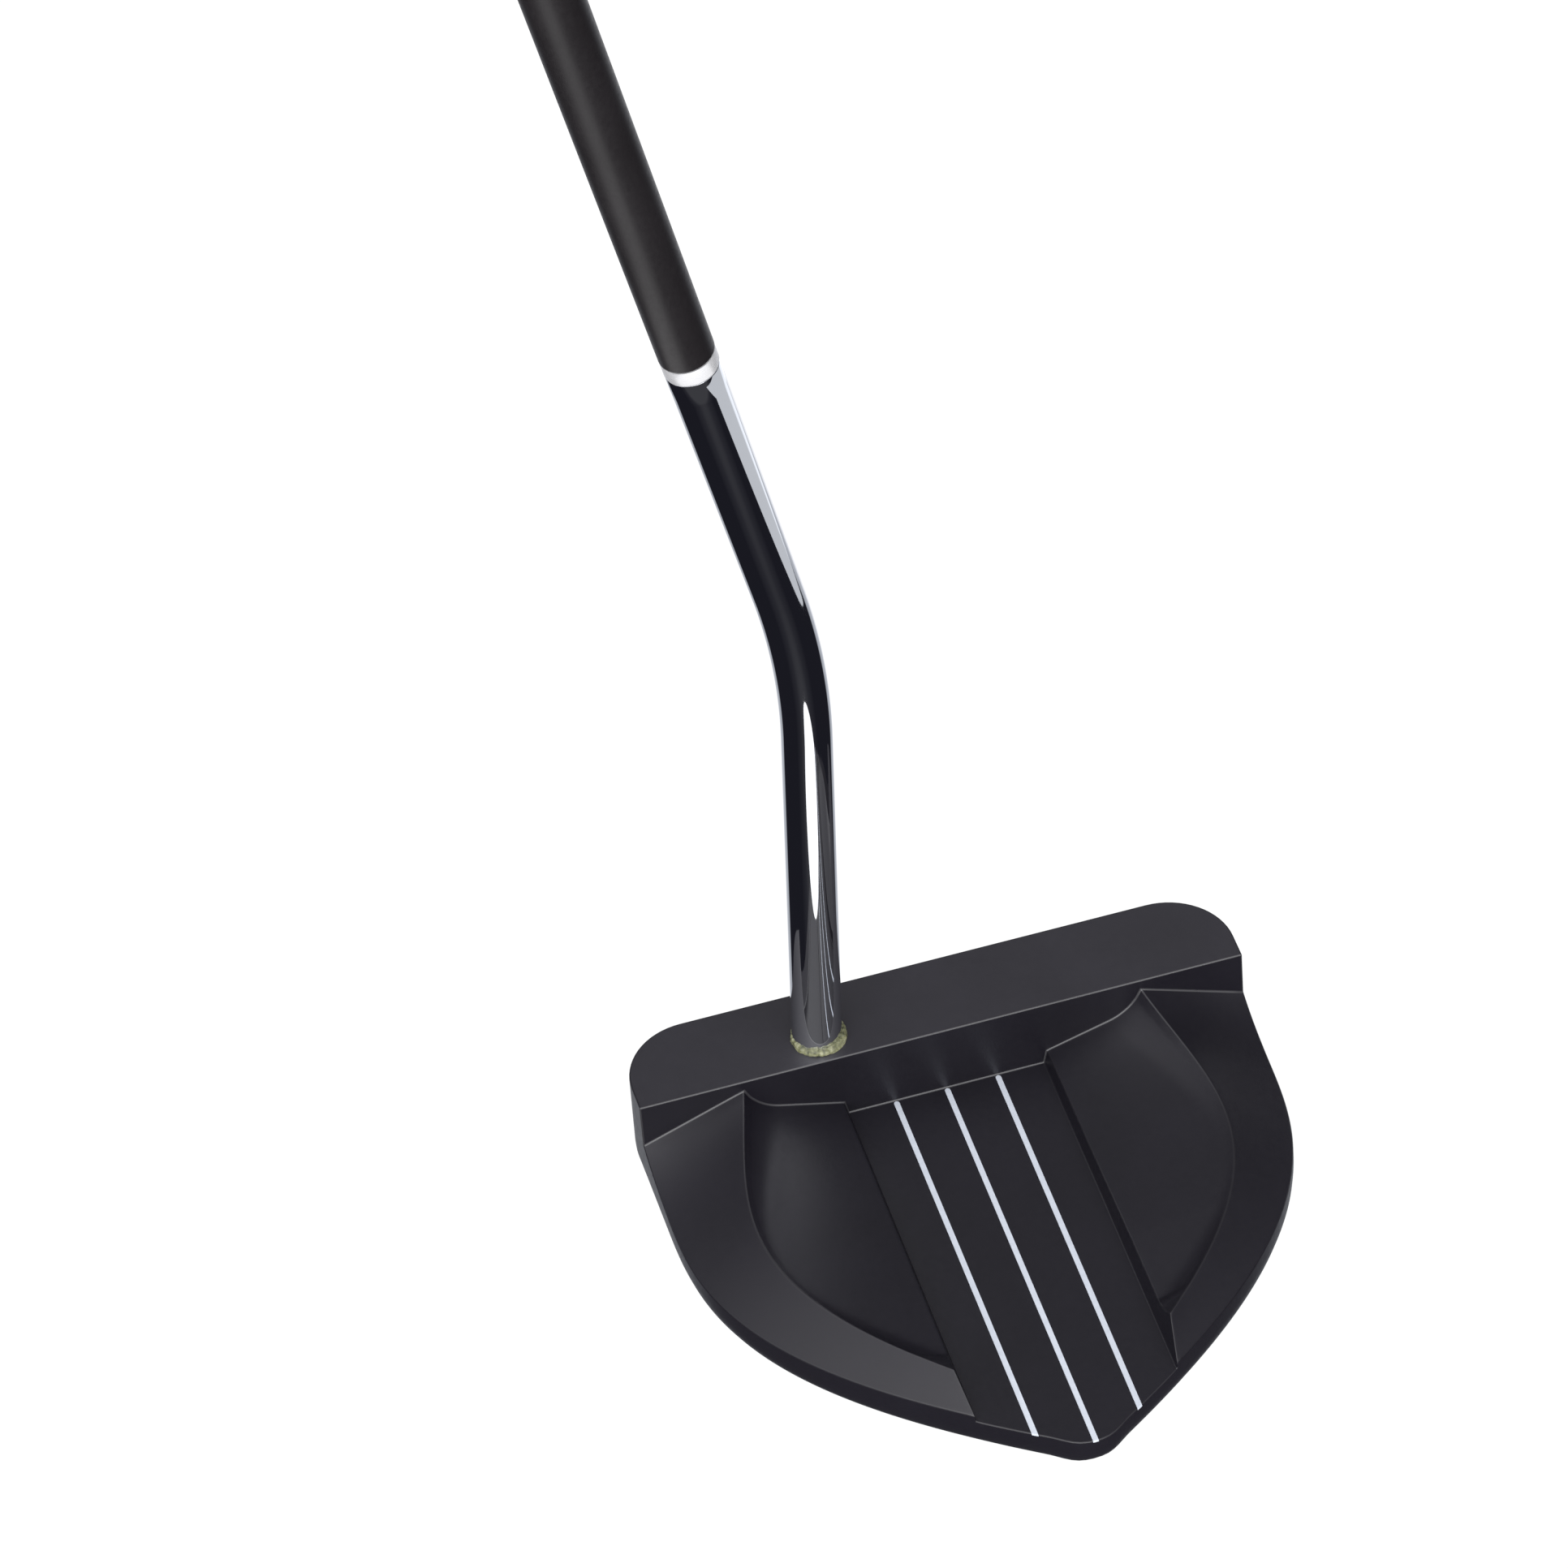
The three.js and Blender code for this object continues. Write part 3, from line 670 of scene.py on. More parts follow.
def add_grid(shell, side, grid):
    """Faces between neighbouring columns: quads, or one face where the counts differ."""
    for left, right in zip(grid, grid[1:]):
        if len(left) == len(right):
            for row in range(len(left) - 1):
                shell.half_face(side, [left[row], left[row + 1], right[row + 1], right[row]])
        else:
            shell.half_face(side, left + right[::-1])


def add_skirt(shell, side, bar, rim, lip):
    """The head's side, from the middle of the face round to the apex."""
    for left, right in zip(bar, bar[1:-1]):
        skirt_strip(shell, side, left, [BAR_TOP], right, [BAR_TOP])
    step_down = [BAR_TOP, rim_height(BAR_REAR_Y)]
    skirt_strip(shell, side, bar[-2], [BAR_TOP], bar[-1], step_down)
    for left, right in zip(rim, rim[1:-1]):
        skirt_strip(shell, side, left, [rim_height(left[1])], right, [rim_height(right[1])])
    step_down = [rim_height(rim[-1][1]), CHANNEL_FLOOR]
    skirt_strip(shell, side, rim[-2], [rim_height(rim[-2][1])], rim[-1], step_down)
    for left, right in zip(lip, lip[1:]):
        skirt_strip(shell, side, left, [CHANNEL_FLOOR], right, [CHANNEL_FLOOR])


def both_sides(toe_points):
    """A loop from the toe half's points, which run from the middle to the middle."""
    heel = [(-x, y, z) for x, y, z in reversed(toe_points)]
    return toe_points + heel


def head_mesh():
    """The head as one closed mesh, before its edges are eased and its recesses cut."""
    shell = Shell()
    ridge = ridge_plan()
    rim, lip = split_outline()
    bar = bar_outline()
    pocket = pocket_grid(ridge)
    band = band_grid(ridge, rim)
    wall_foot = (CHANNEL_HALF_WIDTH, BAR_REAR_Y, CHANNEL_FLOOR)
    wall_end = (lip[0][0], lip[0][1], CHANNEL_FLOOR)
    wall_top = [column[0] for column in pocket] + band[-1][1:]
    for side in (1, -1):
        add_grid(shell, side, pocket)
        add_grid(shell, side, band)
        shell.half_face(side, [wall_foot, *wall_top, wall_end])
        add_skirt(shell, side, bar, rim, lip)
    lip_points = [(x, y, CHANNEL_FLOOR) for x, y in lip]
    shell.face(both_sides([wall_foot, *lip_points]))
    rear_wall = [wall_foot, *pocket[0], *band[0][1:], (HEAD_HALF_WIDTH, BAR_REAR_Y, BAR_TOP)]
    shell.face(both_sides(rear_wall))
    shell.face(both_sides([(x, y, BAR_TOP) for x, y in bar]))
    around = bar + rim[1:] + lip[1:]
    shell.face(both_sides([skirt_point(point, 0.0) for point in around]))
    return shell.closed()


def ease_edges(mesh):
    """Rounds the head's crisp edges and inner corners above the rounded sole edge."""
    lowest = SOLE_EDGE_HEIGHT + ABOVE_SOLE_EDGE
    crisp = []
    for edge in mesh.edges:
        if min(vertex.co.z for vertex in edge.verts) < lowest:
            continue
        if edge.calc_face_angle(0.0) > CRISP_ANGLE:
            crisp.append(edge)
    bmesh.ops.bevel(
        mesh,
        geom=crisp,
        offset=EDGE_RADIUS,
        offset_type="OFFSET",
        segments=EDGE_SEGMENTS,
        profile=0.5,
        affect="EDGES",
        clamp_overlap=True,
        # the new eased faces take a lighter copy of the black: a painted edge highlight
        material=HEAD_EDGE_HIGHLIGHT,
    )


def turned_block(radius, low, high, steps=72, place=(0, 0)):
    """An upright cylinder between two heights."""
    rings = []
    for z in (low, high):
        ring = []
        for step in range(steps):
            angle = 2 * math.pi * step / steps
            x = place[0] + radius * math.cos(angle)
            y = place[1] + radius * math.sin(angle)
            ring.append((x, y, z))
        rings.append(ring)
    return lofted(rings)


def round_ended(half_length, half_height, steps=20):
    """Outline of a long shape with half-round ends, in its own plane."""
    points = []
    for sign in (1, -1):
        for step in range(steps + 1):
            angle = -math.pi / 2 + math.pi * step / steps
            x = sign * (half_length - half_height + half_height * math.cos(angle))
            points.append((x, sign * half_height * math.sin(angle)))
    return points


def face_plate(name, half_length, height, near, far, chamfer=0.0):
    """A round-ended plate square to the lofted face, between two depths below it."""
    levels = [(far, 0.0), (near, 0.0)]
    if chamfer:
        levels = [
            (far, chamfer),
            (far + chamfer, 0.0),
            (near - chamfer, 0.0),
            (near - 0.3 * chamfer, 0.3 * chamfer),
            (near, chamfer),
        ]
    rings = []
    for depth, inset in levels:
        outline = round_ended(half_length - inset, height / 2 - inset)
        rings.append([(x, v, depth) for x, v in outline])
    plate = to_object(name, lofted(rings))
    face_y = FACE_Y + (BAR_TOP - INSERT_MIDDLE) * math.tan(FACE_LOFT)
    turn = Matrix.Rotation(math.pi, 4, "Z") @ Matrix.Rotation(math.pi / 2 - FACE_LOFT, 4, "X")
    tilt = Matrix.Translation((0, face_y, INSERT_MIDDLE)) @ turn
    plate.data.transform(tilt)
    return plate


def line_block(index):
    """A round-ended upright block over one alignment line, running out past the lip."""
    front = BAR_REAR_Y - 0.25
    back = APEX_Y - 3
    middle = (front + back) / 2
    outline = round_ended((front - back) / 2, LINE_WIDTH / 2, 10)
    rings = []
    for z in (CHANNEL_FLOOR - LINE_DEPTH, CHANNEL_FLOOR + 2):
        rings.append([(index * LINE_PITCH + v, middle + u, z) for u, v in outline])
    return to_object(f"line_block_{index}", lofted(rings))


def paint_head(head, looks):
    """Gives the head's eased edges a painted highlight, the bar's top face a painted sheen and the
    eased faces along the bar's rear wall a stronger painted highlight.
    """
    dress(head, [looks["head"], looks["head_edge_highlight"], looks["head_top_sheen"], looks["head_rear_edge_highlight"]])
    for face in head.data.polygons:
        # the bar's top face takes a lighter copy of the black: painted sheen
        if face.normal.z > 0.99 and face.center.z > BAR_TOP - 0.05:
            face.material_index = HEAD_TOP_SHEEN
        # eased faces along the bar's rear wall take a much lighter copy of the black: a painted
        # highlight
        elif face.material_index == HEAD_EDGE_HIGHLIGHT and abs(face.center.y - BAR_REAR_Y) < 0.6:
            face.material_index = HEAD_REAR_EDGE_HIGHLIGHT


def build_line(head, place, index, looks):
    """Cuts one alignment groove and fills it with paint."""
    block = line_block(index)
    paint_data = combined(head, block, "INTERSECT")
    paint = bpy.data.objects.new(f"painted_line_{place}", paint_data)
    bpy.context.scene.collection.objects.link(paint)
    paint.data.transform(Matrix.Translation((0, 0, -LINE_SINK)))
    cut_from(head, block)
    discard(block)
    shade_object(paint, 40)
    node = f"alignment_line_{place}"
    finish_piece(paint, [node], [looks["paint"]], weighted=False)


def cut_recesses(head):
    """Cuts the insert's recess, the weights' counterbores and the shaft's bore."""
    length = INSERT_HALF_LENGTH + FIT_GAP
    height = INSERT_HEIGHT + 2 * FIT_GAP
    recess = face_plate("insert_pocket", length, height, 3.0, -INSERT_THICKNESS - 1.1)
    cut_from(head, recess)
    discard(recess)
    for side in (-1, 1):
        place = (side * WEIGHT_X, WEIGHT_Y)
        radius = WEIGHT_RADIUS + FIT_GAP
        block = turned_block(radius, -2.0, WEIGHT_THICKNESS + 0.6, place=place)
        hole = to_object("weight_pocket", block)
        cut_from(head, hole)
        discard(hole)
    bore = to_object("shaft_bore", turned_block(TIP_RADIUS + 0.15, -BORE_DEPTH, 6.0))
    bore.data.transform(shaft_foot_matrix())
    cut_from(head, bore)
    discard(bore)


def build_head(looks):
    mesh = head_mesh()
    ease_edges(mesh)
    head = to_object("putter_head", mesh)
    paint_head(head, looks)
    for place, index in (("heel", -1), ("centre", 0), ("toe", 1)):
        build_line(head, place, index, looks)
    cut_recesses(head)
    shade_object(head)
    return finish_piece(head, ["head_body"])


# ---- Shaft axis ---------------------------------------------------------------------

LOWER_DIRECTION = Vector((LOWER_LEAN, 0, 1)).normalized()
UPPER_DIRECTION = Vector((-math.cos(LIE), 0, math.sin(LIE)))
SHAFT_FOOT = Vector((SHAFT_X, SHAFT_Y, BAR_TOP))
BEND_CORNER = SHAFT_FOOT + Vector((LOWER_LEAN, 0, 1)) * BEND_HEIGHT
BEND_ANGLE = LOWER_DIRECTION.angle(UPPER_DIRECTION)
BEND_REACH = BEND_RADIUS * math.tan(BEND_ANGLE / 2)
FOOT_DISTANCE = -(BEND_CORNER - SHAFT_FOOT).length


def shaft_foot_matrix():
    return Matrix.Translation(SHAFT_FOOT) @ Matrix.Rotation(math.atan(LOWER_LEAN), 4, "Y")


def shaft_axis(distance):
    """Point and direction of the shaft's axis, by distance from the bend's corner."""
    if distance <= -BEND_REACH:
        return BEND_CORNER + LOWER_DIRECTION * distance, LOWER_DIRECTION
    if distance >= BEND_REACH:
        return BEND_CORNER + UPPER_DIRECTION * distance, UPPER_DIRECTION
    turned = (distance + BEND_REACH) / (2 * BEND_REACH) * BEND_ANGLE
    start = BEND_CORNER - LOWER_DIRECTION * BEND_REACH
    inward = Vector((-LOWER_DIRECTION.z, 0, LOWER_DIRECTION.x))
    along = LOWER_DIRECTION * (BEND_RADIUS * math.sin(turned))
    aside = inward * (BEND_RADIUS * (1 - math.cos(turned)))
    point = start + along + aside
    direction = Matrix.Rotation(-turned, 3, "Y") @ LOWER_DIRECTION
    return point, direction


def shaft_ring(distance, radius_at, steps):
    """Points round the shaft's axis; radius_at gives the radius at an angle."""
    point, direction = shaft_axis(distance)
    across = Vector((direction.z, 0, -direction.x))
    ring = []
    for step in range(steps):
        angle = 2 * math.pi * step / steps
        radius = radius_at(angle)
        side = Vector((0, radius * math.sin(angle), 0))
        ring.append(tuple(point + across * (radius * math.cos(angle)) + side))
    return ring


def round_ring(distance, radius, steps):
    return shaft_ring(distance, lambda angle: radius, steps)


def shaft_tube(name, profile, steps=96):
    """A tube along the shaft's axis whose closed profile is (distance, radius) pairs."""
    rings = [round_ring(distance, radius, steps) for distance, radius in profile]
    rings.append(rings[0])
    mesh = lofted(rings, closed_ends=False)
    smooth_by_angle(mesh, 40)
    return to_object(name, mesh)


def carbon_radius(distance):
    start = COUPLING_START + COUPLING_LENGTH
    share = (distance - start) / (BUTT - start)
    return lerp(CARBON_START_RADIUS, CARBON_END_RADIUS, share)


def build_lower_shaft(looks):
    """The bent steel tube, which swells a little towards its upper end."""
    tip = FOOT_DISTANCE - TIP_DEPTH
    end = COUPLING_START - 0.12
    ease = 0.3
    bend_steps = 28
    swell_steps = 12
    outer = [(tip, TIP_RADIUS - ease), (tip + ease, TIP_RADIUS)]
    outer += [(lerp(tip + ease, -BEND_REACH, step / 8), TIP_RADIUS) for step in range(1, 8)]
    for step in range(bend_steps + 1):
        outer.append((lerp(-BEND_REACH, BEND_REACH, step / bend_steps), TIP_RADIUS))
    for step in range(1, swell_steps):
        share = step / swell_steps
        distance = lerp(BEND_REACH, end - 0.15, share)
        outer.append((distance, lerp(TIP_RADIUS, STEEL_END_RADIUS, share)))
    outer += [
        (end - 0.15, STEEL_END_RADIUS),
        (end - 0.04, STEEL_END_RADIUS - 0.05),
        (end, STEEL_END_RADIUS - 0.15),
    ]
    bore = TIP_RADIUS - STEEL_WALL
    inner = [(end, STEEL_END_RADIUS - STEEL_WALL)]
    inner += [(lerp(BEND_REACH, -BEND_REACH, step / 12), bore) for step in range(13)]
    inner.append((tip, bore))
    tube = shaft_tube("chromed_lower_shaft", outer + inner)
    return finish_piece(tube, ["lower_shaft"], [looks["chrome"]], weighted=False)


def build_coupling(looks):
    """The ring between the tubes, with a spigot into each."""
    end = COUPLING_START + COUPLING_LENGTH
    lower_spigot = STEEL_END_RADIUS - STEEL_WALL - 2 * GAP
    upper_spigot = CARBON_START_RADIUS - CARBON_WALL - GAP
    hollow = min(lower_spigot, upper_spigot) - SPIGOT_WALL
    ease = 0.18
    profile = [
        (COUPLING_START - SPIGOT_LENGTH, hollow),
        (COUPLING_START - SPIGOT_LENGTH, lower_spigot - 0.3),
        (COUPLING_START - SPIGOT_LENGTH + 0.3, lower_spigot),
        (COUPLING_START, lower_spigot),
        (COUPLING_START, COUPLING_RADIUS - ease),
        (COUPLING_START + 0.3 * ease, COUPLING_RADIUS - 0.3 * ease),
        (COUPLING_START + ease, COUPLING_RADIUS),
        (end - ease, COUPLING_RADIUS),
        (end - 0.3 * ease, COUPLING_RADIUS - 0.3 * ease),
        (end, COUPLING_RADIUS - ease),
        (end, upper_spigot),
        (end + SPIGOT_LENGTH - 0.3, upper_spigot),
        (end + SPIGOT_LENGTH, upper_spigot - 0.3),
        (end + SPIGOT_LENGTH, hollow),
    ]
    ring = shaft_tube("silver_coupling", profile)
    node = "shaft_coupling"
    return finish_piece(ring, [node], [looks["silver"]], weighted=False)


def build_upper_shaft(looks):
    start = COUPLING_START + COUPLING_LENGTH + 0.1
    ease = 0.45
    outer = []
    for step in range(5):
        angle = math.pi / 2 * step / 4
        distance = start + ease * (1 - math.cos(angle))
        outer.append((distance, carbon_radius(start) - ease * (1 - math.sin(angle))))
    for step in range(1, 25):
        distance = lerp(start + ease, BUTT, step / 24)
        outer.append((distance, carbon_radius(distance)))
    inner = [
        (BUTT, CARBON_END_RADIUS - CARBON_WALL),
        (start, CARBON_START_RADIUS - CARBON_WALL),
    ]
    tube = shaft_tube("black_upper_shaft", outer + inner)
    return finish_piece(tube, ["upper_shaft"], [looks["carbon"]], weighted=False)


def build_bead(looks):
    """The squeezed-out adhesive: an uneven ring, fullest at the rear and towards the toe."""
    steps = 120
    rings = []
    profile = [(0.0, 0.0), (0.04, 0.3), (0.16, 0.6), (0.36, 0.84), (0.62, 0.97), (1.0, 1.0)]
    for inward, up in profile:
        ring = []
        for step in range(steps):
            angle = 2 * math.pi * step / steps
            across, beside = math.cos(angle), math.sin(angle)
            wave = noise.noise(Vector((2.2 * across, 2.2 * beside, 3.1)))
            fine = noise.noise(Vector((9 * across, 9 * beside, 7.7 + up)))
            fullness = 0.55 + 0.16 * wave + 0.22 * fine + 0.42 * math.cos(angle + 1.1)
            fullness = min(1.0, max(0.12, fullness))
            reach = (BEAD_RADIUS - TIP_RADIUS) * fullness
            height = BEAD_HEIGHT * (0.7 + 0.3 * fullness + 0.15 * fine)
            radius = TIP_RADIUS - 0.05 + reach * (1 - inward)
            ring.append((radius * across, radius * beside, height * up))
        rings.append(ring)
    rings.append([(x * 0.94, y * 0.94, -0.02) for x, y, _ in rings[-1]])
    rings.append(rings[0])
    mesh = lofted(rings, closed_ends=False)
    smooth_by_angle(mesh, 80)
    bead = to_object("adhesive_bead", mesh)
    bead.data.transform(Matrix.Translation(SHAFT_FOOT))
    return finish_piece(bead, ["epoxy_bead"], [looks["epoxy"]], weighted=False)


# ---- Fittings in the head -----------------------------------------------------------

def build_insert(looks):
    size = (INSERT_HALF_LENGTH, INSERT_HEIGHT)
    plate = face_plate("face_insert_plate", *size, 0.0, -INSERT_THICKNESS, chamfer=0.25)
    shade_object(plate)
    return finish_piece(plate, ["face_insert"], [looks["polymer"]])


def weight_profile():
    """Height and radius pairs from the dished underside round to the flat top."""
    low = GAP
    high = GAP + WEIGHT_THICKNESS
    dish = [(low + 0.5, 0.0), (low + 0.5, 3.6), (low + 0.15, 4.1), (low, 4.3)]
    lower_edge = [
        (low, WEIGHT_RADIUS - 0.5),
        (low + 0.15, WEIGHT_RADIUS - 0.15),
        (low + 0.5, WEIGHT_RADIUS),
    ]
    top = [(high - 0.3, WEIGHT_RADIUS), (high, WEIGHT_RADIUS - 0.3), (high, 0.0)]
    return dish + lower_edge + top


def turned_solid(profile, steps):
    """A solid of revolution about the Z axis from (height, radius) pairs."""
    shell = Shell()
    turned = []
    for step in range(steps):
        angle = 2 * math.pi * step / steps
        column = [(radius * math.cos(angle), radius * math.sin(angle), z) for z, radius in profile]
        turned.append(column)
    for step in range(steps):
        now, after = turned[step], turned[(step + 1) % steps]
        for row in range(len(profile) - 1):
            shell.face([now[row], now[row + 1], after[row + 1], after[row]])
    return shell.closed()


def build_weight(side, looks):
    """A steel sole weight with a dished underside and a hexagon socket."""
    end = "toe" if side > 0 else "heel"
    weight = to_object(f"sole_weight_{end}", turned_solid(weight_profile(), 96))
    socket_top = GAP + WEIGHT_SOCKET_DEPTH
    socket = to_object("socket", turned_block(WEIGHT_SOCKET_RADIUS, -1.0, socket_top, steps=6))
    cut_from(weight, socket)
    discard(socket)
    shade_object(weight)
    weight.data.transform(Matrix.Translation((side * WEIGHT_X, WEIGHT_Y, 0)))
    return finish_piece(weight, [f"{end}_sole_weight"], [looks["steel"]])


# ---- Grip ---------------------------------------------------------------------------

def grip_section(share):
    """Half width, flat and palm distances of the grip at a share of its length."""
    for before, after in zip(GRIP_SECTIONS, GRIP_SECTIONS[1:]):
        if share <= after[0]:
            part = (share - before[0]) / (after[0] - before[0])
            return [lerp(a, b, part) for a, b in zip(before[1:], after[1:])]
    return list(GRIP_SECTIONS[-1][1:])


def smooth_section(share):
    """The section averaged over a short length, so the grip swells without creases."""
    reach = min(0.05, share, 1 - share)
    samples = [grip_section(share + reach * offset / 4) for offset in range(-4, 5)]
    return [sum(values) / len(samples) for values in zip(*samples)]


def grip_radius(angle, half_width, flat, palm):
    """Radius of the grip's outline: squarish on the flat side, round on the palm side."""
    depth = flat if math.cos(angle) > 0 else palm
    power = 4 if math.cos(angle) > 0 else 2.2
    total = abs(math.cos(angle) / depth) ** power + abs(math.sin(angle) / half_width) ** power
    return total ** (-1 / power)


def grip_ring(share, steps):
    """The grip's outer ring at a share of its length, eased in at the open end."""
    half_width, flat, palm = smooth_section(share)
    from_end = share * GRIP_LENGTH
    inset = 0.0
    if from_end < GRIP_LIP_EASE:
        turn = 1 - from_end / GRIP_LIP_EASE
        inset = GRIP_LIP_EASE * (1 - math.sqrt(max(0.0, 1 - turn ** 2)))

    def radius_at(angle):
        base = grip_radius(angle, half_width, flat, palm) - inset - GRIP_INSIDE
        return base - groove_depth(angle, share)

    return shaft_ring(GRIP_START + from_end, radius_at, steps)


def build_grip(looks):
    steps = 144
    stations = 160
    rings = [grip_ring(step / stations, steps) for step in range(stations + 1)]
    for distance in (GRIP_START + GRIP_LENGTH, GRIP_START):
        bore = carbon_radius(distance) + 2 * GAP + TAPE_THICKNESS
        rings.append(round_ring(distance, bore, steps))
    rings.append(rings[0])
    mesh = lofted(rings, closed_ends=False)
    smooth_by_angle(mesh, 40)
    grip = to_object("pistol_grip", mesh)
    return finish_piece(grip, ["grip_body"], [looks["rubber"]], weighted=False)


def groove_depth(angle, share):
    """Depth of the shallow moulded grooves across the palm side."""
    facing = -math.cos(angle)
    if facing < 0.15 or not 0.06 < share < 0.94:
        return 0.0
    wave = math.cos(2 * math.pi * share * GRIP_GROOVES)
    edge = min(1.0, (facing - 0.15) / 0.2)
    return GRIP_GROOVE_DEPTH * edge * max(0.0, (wave - 0.35) / 0.65)


def cap_ring(height, inset, steps):
    """The end cap's ring at a height above the grip, set in from the grip's end section."""
    half_width, flat, palm = (value - inset for value in GRIP_SECTIONS[-1][1:])

    def radius_at(angle):
        return grip_radius(angle, half_width, flat, palm) - GRIP_INSIDE

    return shaft_ring(BUTT + GAP + height - GRIP_INSIDE, radius_at, steps)


def build_end_cap(looks):
    """The grip's closed end, crowned at its edge, with a vent hole in the middle."""
    steps = 144
    crown = 1.5
    shoulder = CAP_THICKNESS - crown
    rings = [cap_ring(0.0, 0.0, steps), cap_ring(shoulder, 0.0, steps)]
    for step in range(1, 7):
        angle = math.pi / 2 * step / 6
        rings.append(cap_ring(shoulder + crown * math.sin(angle), 2.0 * (1 - math.cos(angle)), steps))
    vent = [(CAP_THICKNESS, 1.6), (CAP_THICKNESS - 0.2, 1.35), (CAP_THICKNESS - 2.5, 1.3)]
    for height, radius in vent:
        rings.append(round_ring(BUTT + GAP + height - GRIP_INSIDE, radius, steps))
    mesh = lofted(rings)
    smooth_by_angle(mesh, 35)
    cap = to_object("grip_cap", mesh)
    return finish_piece(cap, ["grip_end_cap"], [looks["rubber"]], weighted=False)


# ---- Studio -------------------------------------------------------------------------

def glowing_floor():
    """A pale floor that gives its own even light and takes hardly any shadow."""
    material = bpy.data.materials.new("pale_floor")
    material.use_nodes = True
    shader = material.node_tree.nodes["Principled BSDF"]
    shader.inputs["Base Color"].default_value = (0.05, 0.05, 0.05, 1.0)
    shader.inputs["Roughness"].default_value = 0.9
    shader.inputs["Specular IOR Level"].default_value = 0.0
    shader.inputs["Emission Color"].default_value = (1.0, 1.0, 1.0, 1.0)
    shader.inputs["Emission Strength"].default_value = 1.0
    return material


def build_floor(size, drop):
    """A square floor just below the sole, left out of reflections."""
    mesh = bmesh.new()
    corners = [(-0.5, -0.5), (0.5, -0.5), (0.5, 0.5), (-0.5, 0.5)]
    mesh.faces.new([mesh.verts.new((x * size, y * size, 0)) for x, y in corners])
    floor = to_object("floor", mesh)
    floor.matrix_world = Matrix.Translation((0, 0, -drop))
    floor.data.materials.append(glowing_floor())
    floor.visible_glossy = False


def facing(place, target):
    """A matrix that puts a light at place with its -Z towards target."""
    place = Vector(place)
    turn = (Vector(target) - place).to_track_quat("-Z", "Y")
    return Matrix.Translation(place) @ turn.to_matrix().to_4x4()


def soft_light(name, place, target, size, power):
    data = bpy.data.lights.new(name, "AREA")
    data.shape = "RECTANGLE"
    data.size, data.size_y = size
    data.energy = power
    light = bpy.data.objects.new(name, data)
    bpy.context.scene.collection.objects.link(light)
    light.matrix_world = facing(place, target)
    return light


def seen_by(lamp, piece):
    """Lets only the given piece catch this light, as a flag or gobo would."""
    group = bpy.data.collections.new(f"{lamp.name}_receivers")
    group.objects.link(piece)
    lamp.light_linking.receiver_collection = group


def reflection_card(name, place, target, size, radiance, piece, round_card=False):
    """A soft panel that shows only as a reflection in the given piece."""
    area = size[0] * size[1] * (math.pi / 4 if round_card else 1)
    card = soft_light(name, place, target, size, radiance * math.pi * area)
    card.data.shape = "ELLIPSE" if round_card else "RECTANGLE"
    card.visible_camera = False
    card.visible_diffuse = False
    seen_by(card, piece)
    return card


def grey(value):
    return (value, value, value * 1.03)


# Each list runs along its axis, from -1 (opposite) to 1, and gives the colour there
SKY_AXIS = (-0.25, -0.58, 0.775)
SKY = [
    (-0.35, grey(0.03)),
    (-0.2, grey(0.08)),
    (0.1, grey(0.18)),
    (0.3, grey(0.24)),
    (0.5, grey(0.75)),
    (0.75, grey(1.25)),
    (1.0, grey(1.6)),
]
GROUND_AXIS = (-0.2226, -0.975, 0.0)
GROUND = [
    (-0.7, (0.95, 0.96, 1.0)),
    (-0.62, (0.5, 0.52, 0.56)),
    (-0.47, (0.42, 0.44, 0.48)),
    (-0.41, (0.012, 0.012, 0.017)),
    (0.5, (0.012, 0.012, 0.017)),
    (0.64, (0.024, 0.024, 0.03)),
    (0.71, (0.05, 0.05, 0.056)),
]
HORIZON = [(-0.06, (0, 0, 0)), (0.06, (1, 1, 1))]


def ramp_along(tree, axis, stops):
    """Colours that follow how far a world direction points along an axis."""
    place = tree.nodes.new("ShaderNodeTexCoord").outputs["Generated"]
    dot = tree.nodes.new("ShaderNodeVectorMath")
    dot.operation = "DOT_PRODUCT"
    dot.inputs[1].default_value = axis
    tree.links.new(place, dot.inputs[0])
    spread = tree.nodes.new("ShaderNodeMapRange")
    spread.inputs["From Min"].default_value = -1.0
    spread.inputs["From Max"].default_value = 1.0
    tree.links.new(dot.outputs["Value"], spread.inputs["Value"])
    ramp = tree.nodes.new("ShaderNodeValToRGB")
    elements = ramp.color_ramp.elements
    while len(elements) < len(stops):
        elements.new(0.5)
    for element, (position, color) in zip(elements, stops):
        element.position = (position + 1) / 2
        element.color = (*color, 1.0)
    tree.links.new(spread.outputs["Result"], ramp.inputs["Fac"])
    return ramp.outputs["Color"]


def studio_world():
    """Soft surroundings: a sky that is bright behind the putter, over a mostly dark ground."""
    world = bpy.data.worlds.new("studio")
    world.use_nodes = True
    tree = world.node_tree
    mix = tree.nodes.new("ShaderNodeMix")
    mix.data_type = "RGBA"
    tree.links.new(ramp_along(tree, (0, 0, 1), HORIZON), mix.inputs["Factor"])
    tree.links.new(ramp_along(tree, GROUND_AXIS, GROUND), mix.inputs["A"])
    tree.links.new(ramp_along(tree, SKY_AXIS, SKY), mix.inputs["B"])
    background = tree.nodes["Background"]
    tree.links.new(mix.outputs["Result"], background.inputs["Color"])
    background.inputs["Strength"].default_value = 1.0
    bpy.context.scene.world = world


